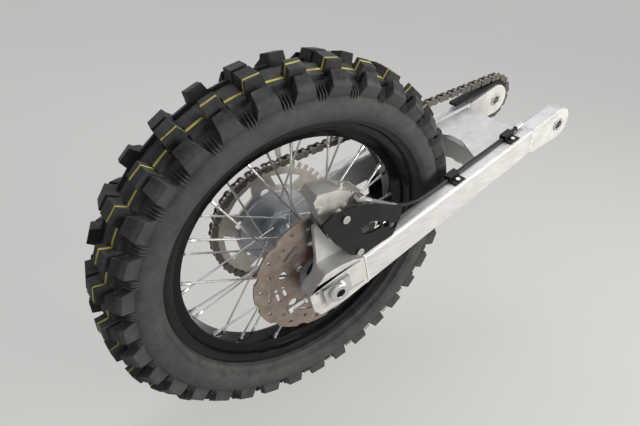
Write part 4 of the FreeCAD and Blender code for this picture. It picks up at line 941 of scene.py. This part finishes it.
@dataclass(frozen=True)
class Spokes:
    """Laced spokes with elbows, and their nipples.

    The elbow's form gives depths into the flange, places along the spoke and radii. The nipple's
    form gives places along it and shares of its radius.
    """

    count: int = 36
    radius: float = 2.0
    hub_radius: float = 41.5
    rim_radius: float = 210.2
    sweep: float = math.radians(50.0)
    flange: float = 32.8
    outside: float = 4.9
    inside: float = 4.4
    rim_near: float = 5.0
    rim_step: float = 8.0
    butt_from: float = 26.0
    butt_to: float = 32.0
    butt_share: float = 0.9
    elbow: tuple[Triple, ...] = (
        (7.6, 0.0, 1.5), (7.6, 0.0, 3.2), (6.0, 0.0, 3.2), (5.4, 0.0, 2.0), (1.6, 0.0, 2.0),
        (0.7, 0.35, 2.0), (0.2, 1.1, 2.0), (0.0, 2.4, 2.0))
    nipple_length: float = 15.0
    nipple_radius: float = 3.2
    nipple_sides: int = 8
    nipple: tuple[Span, ...] = (
        (0.0, 0.75), (0.5, 0.86), (9.0, 0.86), (9.4, 1.0), (13.0, 1.0), (14.0, 0.92))
    spoke_sharp_over: float = 40.0
    nipple_sharp_over: float = 35.0

    def ends(self, side: int, lead: int) -> tuple[Vector, Vector]:
        """Hub end and rim end of the first spoke of one set, in millimetres.

        Args:
            side: 1 for the left flange, -1 for the right.
            lead: 1 or -1 for the way the set leans.

        Returns:
            The two ends.
        """
        angle = 0.0 if side < 0 else FULL_TURN / self.count
        across = self.flange + (self.outside if lead > 0 else -self.inside)
        rim_across = self.rim_near + (self.rim_step if lead > 0 else 0.0)
        places = ((angle, self.hub_radius, across),
                  (angle + lead * self.sweep, self.rim_radius, rim_across))
        hub, rim = (Vector((radius * math.sin(turn), side * away, radius * math.cos(turn)))
                    for turn, radius, away in places)
        return hub, rim

    def build(self, ring: RingRepeat, steel: Material, plated: Material) -> None:
        """Makes the four sets of spokes and of nipples.

        Args:
            ring: The tree that repeats a shape round the axle.
            steel: Finish of the spokes.
            plated: Finish of the nipples.
        """
        spokes, nipples = [], []
        for side in (-1, 1):
            for lead in (-1, 1):
                hub, rim = self.ends(side, lead)
                line = (rim - hub).normalized()
                inward = Vector((0.0, -side * lead, 0.0))
                across = line.cross(inward).normalized()
                bottom = rim - line * self.nipple_length
                path = [hub + inward * deep + line * ahead for deep, ahead, radius in self.elbow]
                path += [hub + line * self.butt_from, hub + line * self.butt_to, bottom]
                thin = self.radius * self.butt_share
                radii = [radius for deep, ahead, radius in self.elbow] + [self.radius, thin, thin]
                shaft = tube(path, radii, across)
                spokes.append(ring.run("spoke_set", shaft, self.count // 4, steel))
                cap = tube([bottom + line * far for far, share in self.nipple],
                           [self.nipple_radius * share for far, share in self.nipple],
                           across, self.nipple_sides)
                nipples.append(ring.run("nipple_set", cap, self.count // 4, plated))
        for name, sets, angle, node in (
                ("laced_spokes", spokes, self.spoke_sharp_over, "spokes"),
                ("spoke_nipples", nipples, self.nipple_sharp_over, "nipples")):
            piece = joined(name, sets)
            shade(piece.data, angle)
            hand_over(piece, WHEEL, "steel_bright", node)


# Chain


@dataclass(frozen=True)
class Chain:
    """Roller chain in one closed loop: shaped plates, rollers and riveted pins."""

    pitch: float = 15.875
    teeth: int = 48
    front_radius: float = 49.54
    line: float = 80.0
    inner_plate: Span = (3.3, 5.3)
    outer_plate: Span = (5.6, 7.6)
    inner_height: float = 4.6
    outer_height: float = 6.7
    waist_share: float = 0.74
    plate_corners: int = 7
    roller_radius: float = 4.8
    pin_radius: float = 2.5
    pin_end: float = 0.6
    barrel_sides: int = 12
    sharp_over: float = 35.0

    def track(self) -> list[Vector]:
        """Places of the pins round the loop, from the rear end over the top.

        Returns:
            The places in millimetres along the arm.
        """
        small, reach = self.front_radius, FRAME.length
        large = self.pitch / (2.0 * math.sin(math.pi / self.teeth))
        step = FULL_TURN * large / self.teeth
        lean = math.asin((large - small) / reach)
        run = math.sqrt(reach ** 2 - (large - small) ** 2)
        rear = large * (0.5 * math.pi + lean)
        front = small * (math.pi - 2.0 * lean)
        top_end = rear + run
        bend_end = top_end + front
        loop = 2.0 * rear + 2.0 * run + front
        lift, ahead = math.sin(lean), math.cos(lean)
        places = []
        for link in range(round(loop / step)):
            travel = link * step
            if travel < rear or travel >= bend_end + run:
                angle = (travel if travel < rear else travel - loop) / large
                place = (-large * math.cos(angle), large * math.sin(angle))
            elif travel < top_end:
                on = travel - rear
                place = (large * lift + on * ahead, large * ahead - on * lift)
            elif travel < bend_end:
                angle = 0.5 * math.pi - lean - (travel - top_end) / small
                place = (reach + small * math.cos(angle), small * math.sin(angle))
            else:
                on = travel - bend_end
                place = (reach + small * lift - on * ahead, -small * ahead - on * lift)
            places.append(Vector((place[0], 0.0, place[1])))
        return places

    def plate(self, work: bmesh.types.BMesh, low: float, high: float, height: float) -> None:
        """Adds one waisted plate of a link that lies along X from pin to pin.

        Args:
            work: The mesh that takes it.
            low: Its right side across the wheel.
            high: Its left side.
            height: Half of its height at the pins.
        """
        rim = []
        waist = self.waist_share * height
        for end, start, middle in ((self.pitch, -90.0, waist), (0.0, 90.0, -waist)):
            for corner in range(self.plate_corners):
                angle = math.radians(start + 180.0 / (self.plate_corners - 1) * corner)
                rim.append((end + height * math.cos(angle), height * math.sin(angle)))
            rim.append((0.5 * self.pitch, middle))
        count = len(rim)
        verts = [work.verts.new((x, y, z)) for y in (low, high) for x, z in rim]
        work.faces.new(verts[:count])
        work.faces.new(list(reversed(verts[count:])))
        for i in range(count):
            j = (i + 1) % count
            work.faces.new((verts[i], verts[count + i], verts[count + j], verts[j]))

    def barrel(self, work: bmesh.types.BMesh, ahead: float, half: float, radius: float) -> None:
        """Adds one round roller or pin across the chain."""
        place = Matrix.Translation((ahead, 0.0, 0.0)) @ Matrix.Rotation(0.5 * math.pi, 4, "X")
        bmesh.ops.create_cone(work, cap_ends=True, segments=self.barrel_sides, radius1=radius,
                              radius2=radius, depth=2.0 * half, matrix=place)

    def link(self, outer: bool) -> Mesh:
        """One link along X from its first pin, in millimetres.

        Args:
            outer: Whether it is an outer link with its pins.

        Returns:
            The link's mesh.
        """
        work = bmesh.new()
        near, far = self.outer_plate if outer else self.inner_plate
        height = self.outer_height if outer else self.inner_height
        self.plate(work, near, far, height)
        self.plate(work, -far, -near, height)
        for ahead in (0.0, self.pitch):
            if outer:
                self.barrel(work, ahead, far + self.pin_end, self.pin_radius)
            else:
                self.barrel(work, ahead, near, self.roller_radius)
        bmesh.ops.recalc_face_normals(work, faces=work.faces)
        return written(work, bpy.data.meshes.new("link"))

    def build(self, steel: Material) -> None:
        """Lays the links along the loop.

        Args:
            steel: The chain's finish.
        """
        places = self.track()
        kinds = (self.link(False), self.link(True))
        shapes = []
        for index, here in enumerate(places):
            along = (places[(index + 1) % len(places)] - here).normalized()
            turn = Matrix.Rotation(math.atan2(-along.z, along.x), 4, "Y")
            middle = Matrix.Translation(here + Vector((0.0, self.line, 0.0)))
            shapes.append((kinds[index % 2], FRAME.matrix @ middle @ turn))
        piece = new_piece("chain_links", laid("chain_links", shapes), steel)
        shade(piece.data, self.sharp_over)
        hand_over(piece, ARM, "chain_steel", "chain")


# Arm


@dataclass(frozen=True)
class WeldBeads:
    """Beads where each beam meets its two castings.

    Width, top and corner are the beams'. A seam is its place along the arm, the beam's outer side
    and how far the beam reaches down.
    """

    step: float = 3.0
    radius: float = 2.6
    stretch: float = 1.1
    sunk_share: float = 0.55
    width: float = 28.0
    top: float = 26.0
    corner: float = 4.0
    seams: tuple[Triple, ...] = ((62.0, 125.0, 40.0), (505.0, 92.0, 31.0))

    def drop(self) -> Mesh:
        """One flattened drop of weld.

        Returns:
            The mesh in millimetres.
        """
        work = bmesh.new()
        bmesh.ops.create_icosphere(work, subdivisions=2, radius=self.radius)
        bmesh.ops.scale(work, vec=(self.stretch, 1.0, 1.0), verts=work.verts)
        return written(work, bpy.data.meshes.new("drop"))

    def corners(self, forward: float, outer: float, low: float) -> list[Vector]:
        """Corners of the line round one seam.

        Args:
            forward: The seam's place along the arm.
            outer: The beam's outer side.
            low: How far the beam reaches down.

        Returns:
            The corners in order, in millimetres along the arm.
        """
        deep, cut = self.radius * self.sunk_share, self.corner
        left, right = outer - deep, outer - self.width + deep
        high, under = self.top - deep, deep - low
        places = ((left - cut, high), (left, high - cut), (left, under + cut), (left - cut, under),
                  (right + cut, under), (right, under + cut), (right, high - cut),
                  (right + cut, high))
        return [Vector((forward, *place)) for place in places]

    def build(self, metal: Material) -> None:
        """Lays the drops round the beams' sections.

        Args:
            metal: The weld's finish.
        """
        drop = self.drop()
        shapes = []
        for seam in self.seams:
            corners = self.corners(*seam)
            for index, start in enumerate(corners):
                line = corners[(index + 1) % len(corners)] - start
                count = max(1, round(line.length / self.step))
                for number in range(count):
                    place = start + line * (number / count)
                    for side in (-1.0, 1.0):
                        spot = Vector((place.x, side * place.y, place.z))
                        shapes.append((drop, FRAME.matrix @ Matrix.Translation(spot)))
        mesh = laid("weld_beads", shapes)
        mesh.shade_smooth()
        hand_over(new_piece("weld_beads", mesh, metal), ARM, "brushed_aluminium")


# Finishes by name


class Paint(Enum):
    """Every finish of the object, each with the record's material slot."""

    RUBBER = TreadRubber(
        "tread_rubber", "tyre_rubber", (0.019, 0.020, 0.022), roughness=0.62, variation=0.25,
        fine=1400.0, broad=12.0, bump=0.4, bump_depth=0.0003, shine=0.2, dust=0.62,
        dust_colour=(0.19, 0.186, 0.178))
    BLACK_RIM = Finish(
        "black_rim", "black_rim", (0.006, 0.006, 0.007), roughness=0.11, variation=0.2, bump=0.02,
        shine=0.16, dust=0.012, edge=0.12)
    SPOKE = Finish(
        "spoke_steel", "steel_bright", (0.66, 0.65, 0.63), metallic=1.0, roughness=0.28,
        variation=0.12, bump=0.10, dust=0.06)
    NIPPLE = Finish(
        "nipple_plating", "steel_bright", (0.72, 0.72, 0.70), metallic=1.0, roughness=0.32,
        variation=0.12, bump=0.10)
    HUB = Finish(
        "hub_casting", "cast_aluminium", (0.46, 0.49, 0.53), metallic=0.75, roughness=0.42,
        fine=700.0, broad=35.0, bump=0.5, bump_depth=0.0004, dust=0.14, edge=0.5)
    CAST = Finish(
        "cast_aluminium", "cast_aluminium", (0.71, 0.705, 0.685), metallic=0.3, roughness=0.44,
        variation=0.14, fine=650.0, broad=40.0, bump=0.65, bump_depth=0.0004, dust=0.12, edge=0.6)
    TURNED = Finish(
        "machined_aluminium", "machined_aluminium", (0.64, 0.635, 0.62), metallic=0.95,
        roughness=0.33, variation=0.10, dust=0.12, edge=0.5, scratches=0.15)
    BRUSHED = BrushedMetal(
        "brushed_aluminium", "brushed_aluminium", (0.74, 0.74, 0.725), metallic=0.3,
        roughness=0.42, variation=0.06, bump=0.40, bump_depth=0.00012, dust=0.04, edge=0.3,
        scratches=0.25)
    WELD = Finish(
        "weld_bead", "brushed_aluminium", (0.52, 0.52, 0.51), metallic=0.9, roughness=0.35,
        variation=0.2, broad=200.0, bump=0.4)
    DISC = Finish(
        "disc_steel", "disc_steel", (0.30, 0.24, 0.20), metallic=0.85, roughness=0.36,
        variation=0.26, broad=55.0, bump=0.14, dust=0.25, dust_colour=(0.24, 0.185, 0.15),
        edge=0.4, scratches=0.4)
    ZINC = Finish(
        "zinc_steel", "zinc_bolts", (0.58, 0.575, 0.55), metallic=1.0, roughness=0.34, bump=0.12,
        dust=0.12, edge=0.4)
    CHAIN = Finish(
        "chain_steel", "chain_steel", (0.105, 0.094, 0.08), metallic=0.9, roughness=0.36,
        variation=0.45, broad=140.0, bump=0.2, dust=0.14, dust_colour=(0.13, 0.11, 0.09),
        edge=0.6, edge_colour=(0.42, 0.39, 0.35))
    SPROCKET = Finish(
        "dusty_sprocket", "machined_aluminium", (0.56, 0.525, 0.47), metallic=0.85,
        roughness=0.38, variation=0.18, broad=45.0, dust=0.26, dust_colour=(0.30, 0.25, 0.20),
        edge=0.5, scratches=0.2)
    PLASTIC = Finish(
        "black_plastic", "black_plastic", (0.008, 0.008, 0.009), roughness=0.40, fine=1600.0,
        bump=0.35, shine=0.2, dust=0.06, edge=0.15, edge_colour=(0.10, 0.10, 0.10))
    CALIPER = Finish(
        "caliper_anodising", "caliper_finish", (0.68, 0.66, 0.61), metallic=0.3, roughness=0.34,
        variation=0.14, broad=60.0, bump=0.4, dust=0.12, edge=0.7)
    PAD = Finish(
        "pad_steel", "pad_steel", (0.12, 0.11, 0.10), metallic=0.7, roughness=0.6, variation=0.3,
        bump=0.4, dust=0.3)
    # The hose's pale rear end is a painted highlight, not a sheath.
    HOSE = HoseWithPaintedHighlight(
        "hose_rubber", "hose_rubber", (0.010, 0.010, 0.011), roughness=0.34, variation=0.2,
        fine=1500.0, bump=0.2, shine=0.3, dust=0.04)


@dataclass(frozen=True)
class Dressing:
    """How one CAD node is finished; a bevel is the width of its rounded edges in millimetres."""

    node: str
    body: str
    paint: Paint
    bevel: float
    merge: float = 1e-6
    flat_under: float = 0.6
    sharp_over: float = 32.0

    def copy(self, material: Material) -> Piece:
        """Copy of the node with merged points, rounded edges and smooth round faces.

        Args:
            material: Its finish.

        Returns:
            The new piece.
        """
        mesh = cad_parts[self.node].data.copy()
        work = bmesh.new()
        work.from_mesh(mesh)
        bmesh.ops.remove_doubles(work, verts=work.verts, dist=self.merge)
        bmesh.ops.dissolve_limit(work, angle_limit=math.radians(self.flat_under),
                                 verts=work.verts, edges=work.edges)
        piece = new_piece(self.node + "_finished", written(work, mesh), material)
        if self.bevel:
            soften(piece, self.bevel, self.sharp_over)
        else:
            shade(piece.data, self.sharp_over)
        return piece

    def build(self, material: Material) -> None:
        """Puts the finished copy in the node's place."""
        hand_over(self.copy(material), self.body, self.paint.value.slot, self.node)


def both_sides(node: str, body: str, paint: Paint, bevel: float) -> list[Dressing]:
    """Dressings of a node and of its twin, which end in left and right."""
    return [Dressing(f"{node}_{side}", body, paint, bevel) for side in ("left", "right")]


DRESSINGS = (
    Dressing("rim", WHEEL, Paint.BLACK_RIM, 0.4),
    Dressing("hub", WHEEL, Paint.HUB, 0.5),
    *both_sides("wheel_bearings", WHEEL, Paint.SPOKE, 0.4),
    Dressing("sprocket", WHEEL, Paint.SPROCKET, 0.4),
    Dressing("sprocket_bolts", WHEEL, Paint.ZINC, 0.6),
    Dressing("brake_disc", WHEEL, Paint.DISC, 0.3),
    Dressing("disc_bolts", WHEEL, Paint.ZINC, 0.6),
    Dressing("valve", WHEEL, Paint.SPOKE, 0.5),
    Dressing("rim_lock", WHEEL, Paint.ZINC, 0.5),
    Dressing("axle", ARM, Paint.SPOKE, 0.6),
    Dressing("axle_nut", ARM, Paint.ZINC, 0.8),
    *both_sides("collar", ARM, Paint.TURNED, 0.6),
    *both_sides("axle_end", ARM, Paint.CAST, 1.2),
    *both_sides("axle_block", ARM, Paint.TURNED, 0.8),
    Dressing("adjuster_bolts", ARM, Paint.ZINC, 0.5),
    Dressing("adjuster_nuts", ARM, Paint.ZINC, 0.5),
    *both_sides("arm_beam", ARM, Paint.BRUSHED, 0.8),
    *both_sides("arm_pivot", ARM, Paint.CAST, 1.2),
    Dressing("pivot_sleeves", ARM, Paint.SPOKE, 0.5),
    Dressing("arm_crossmember", ARM, Paint.CAST, 1.2),
    Dressing("caliper_bracket", ARM, Paint.CAST, 0.8),
    Dressing("brake_caliper", ARM, Paint.CALIPER, 1.0),
    Dressing("brake_pads", ARM, Paint.PAD, 0.4),
    Dressing("caliper_guard", ARM, Paint.PLASTIC, 1.0),
    Dressing("guard_posts", ARM, Paint.ZINC, 0.5),
    Dressing("brake_hose", ARM, Paint.HOSE, 0.0),
    Dressing("hose_fittings", ARM, Paint.ZINC, 0.5),
    Dressing("hose_clips", ARM, Paint.PLASTIC, 0.6),
    Dressing("clip_screws", ARM, Paint.ZINC, 0.5),
    Dressing("chain_slider", ARM, Paint.PLASTIC, 1.0),
    Dressing("chain_guide", ARM, Paint.PLASTIC, 1.0),
)


class PaintShop:
    """Keeps one material for each finish."""

    def __init__(self, effects: Effects) -> None:
        """Keeps the shared effects."""
        self.effects = effects
        self.made: dict[Paint, Material] = {}

    def get(self, paint: Paint) -> Material:
        """Material of one finish, made on first use.

        Args:
            paint: The finish.

        Returns:
            The material.
        """
        if paint not in self.made:
            self.made[paint] = paint.value.build(self.effects)
        return self.made[paint]


# Studio


@dataclass(frozen=True)
class Lamp:
    """One soft square lamp: where it stands and aims, its width and its power."""

    name: str
    place: Triple
    aim: Triple
    size: float
    power: float
    colour: Triple = (1.0, 1.0, 1.0)

    def build(self) -> None:
        """Adds the lamp."""
        data = bpy.data.lights.new(self.name, "AREA")
        data.size = self.size
        data.energy = self.power
        data.color = self.colour
        lamp = bpy.data.objects.new(self.name, data)
        bpy.context.scene.collection.objects.link(lamp)
        turn = (Vector(self.aim) - Vector(self.place)).to_track_quat("-Z", "Y")
        lamp.matrix_world = Matrix.Translation(Vector(self.place)) @ turn.to_matrix().to_4x4()


@dataclass(frozen=True)
class Studio:
    """Camera, lamps, world and floor, in metres and watts."""

    floor_height: float = -0.5157
    floor_reach: float = 14.0
    floor_glow: float = 0.62
    floor_seen: Triple = (0.72, 0.71, 0.69)
    floor_finish: Finish = Finish("pale_floor", "", (0.66, 0.65, 0.635), roughness=0.9,
                                  variation=0.015, fine=90.0, broad=1.2, bump=0.03)
    world_light: float = 0.22
    world_seen: float = 0.93
    horizon: Span = (-0.1, 0.5)
    low_sky: Triple = (0.62, 0.60, 0.58)
    high_sky: Triple = (0.86, 0.90, 0.97)
    lens: float = 24.70
    sensor: float = 36.0
    near_limit: float = 0.01
    camera_place: Triple = (-0.8973, -0.5225, 0.2945)
    forward: Triple = (0.4997, 0.6748, -0.5432)
    right: Triple = (0.8327, -0.5469, 0.0867)
    lamps: tuple[Lamp, ...] = (
        Lamp("key", (0.75, -1.9, 0.50), (-0.40, 0.0, -0.1), 1.3, 46.0, (1.0, 0.965, 0.91)),
        Lamp("fill", (-2.2, -1.4, 1.0), (-0.5, 0.0, -0.2), 1.6, 1.2, (0.80, 0.89, 1.0)),
        Lamp("above", (-0.15, 0.55, 1.9), (-0.35, 0.0, -0.1), 1.2, 18.0))

    def camera(self) -> None:
        """Places the camera where the photograph was taken from."""
        data = bpy.data.cameras.new("camera")
        data.lens = self.lens
        data.sensor_width = self.sensor
        data.sensor_fit = "HORIZONTAL"
        data.clip_start = self.near_limit
        camera = bpy.data.objects.new("camera", data)
        bpy.context.scene.collection.objects.link(camera)
        forward = Vector(self.forward).normalized()
        right = Vector(self.right)
        right = (right - forward * right.dot(forward)).normalized()
        matrix = Matrix((right, right.cross(forward), -forward)).transposed().to_4x4()
        matrix.translation = Vector(self.camera_place)
        camera.matrix_world = matrix
        bpy.context.scene.camera = camera

    @staticmethod
    def seen(graph: Graph) -> Output:
        """Mask that is 1 where the surroundings are looked at, also in a mirror or through glass.

        Args:
            graph: The graph of the world or of a material.

        Returns:
            The output socket.
        """
        rays = graph.add("ShaderNodeLightPath").outputs
        straight = graph.math("ADD", rays["Is Camera Ray"], rays["Is Glossy Ray"], clamp=True)
        return graph.math("ADD", straight, rays["Is Transmission Ray"], clamp=True)

    def world(self) -> None:
        """Pale surroundings that light the object gently and look brighter than they light."""
        world = bpy.data.worlds.new("surroundings")
        bpy.context.scene.world = world
        world.use_nodes = True
        world.node_tree.nodes.clear()
        graph = Graph(world.node_tree)
        strength = graph.ramp(self.seen(graph), 0.0, 1.0, self.world_light, self.world_seen)
        up = graph.split(graph.add("ShaderNodeTexCoord").outputs["Generated"])[2]
        colour = graph.mix(graph.ramp(up, *self.horizon), self.low_sky, self.high_sky)
        sky = graph.add("ShaderNodeBackground", Color=colour, Strength=strength)
        graph.add("ShaderNodeOutputWorld", Surface=sky.outputs[0])

    def floor(self, effects: Effects) -> None:
        """Plain pale floor under the tyre.

        Args:
            effects: The shared node groups.
        """
        reach = self.floor_reach
        mesh = bpy.data.meshes.new("floor")
        corners = ((-reach, -reach), (reach, -reach), (reach, reach), (-reach, reach))
        mesh.from_pydata([(x, y, self.floor_height) for x, y in corners], [], [(0, 1, 2, 3)])
        material = self.floor_finish.build(effects)
        graph = Graph(material.node_tree)
        end = next(node for node in graph.tree.nodes if node.type == "OUTPUT_MATERIAL")
        lit = end.inputs["Surface"].links[0].from_socket
        glow = graph.add("ShaderNodeEmission", Color=(*self.floor_seen, 1.0), Strength=1.0)
        both = graph.add("ShaderNodeMixShader")
        share = graph.times(self.seen(graph), self.floor_glow)
        for index, value in enumerate((share, lit, glow.outputs[0])):
            graph.feed(both, index, value)
        graph.feed(end, "Surface", both.outputs[0])
        new_piece("floor", mesh, material)

    def build(self, effects: Effects) -> None:
        """Sets up the whole studio.

        Args:
            effects: The shared node groups.
        """
        bpy.context.scene.view_settings.view_transform = "Standard"
        self.camera()
        self.world()
        self.floor(effects)
        for lamp in self.lamps:
            lamp.build()


def main() -> None:
    logging.basicConfig(level=logging.INFO)
    effects = Effects()
    shop = PaintShop(effects)
    ring = RingRepeat()
    Studio().build(effects)
    Tyre().build(ring, shop.get(Paint.RUBBER))
    Spokes().build(ring, shop.get(Paint.SPOKE), shop.get(Paint.NIPPLE))
    Chain().build(shop.get(Paint.CHAIN))
    WeldBeads().build(shop.get(Paint.WELD))
    for dressing in DRESSINGS:
        dressing.build(shop.get(dressing.paint))


if __name__ == "__main__":
    main()
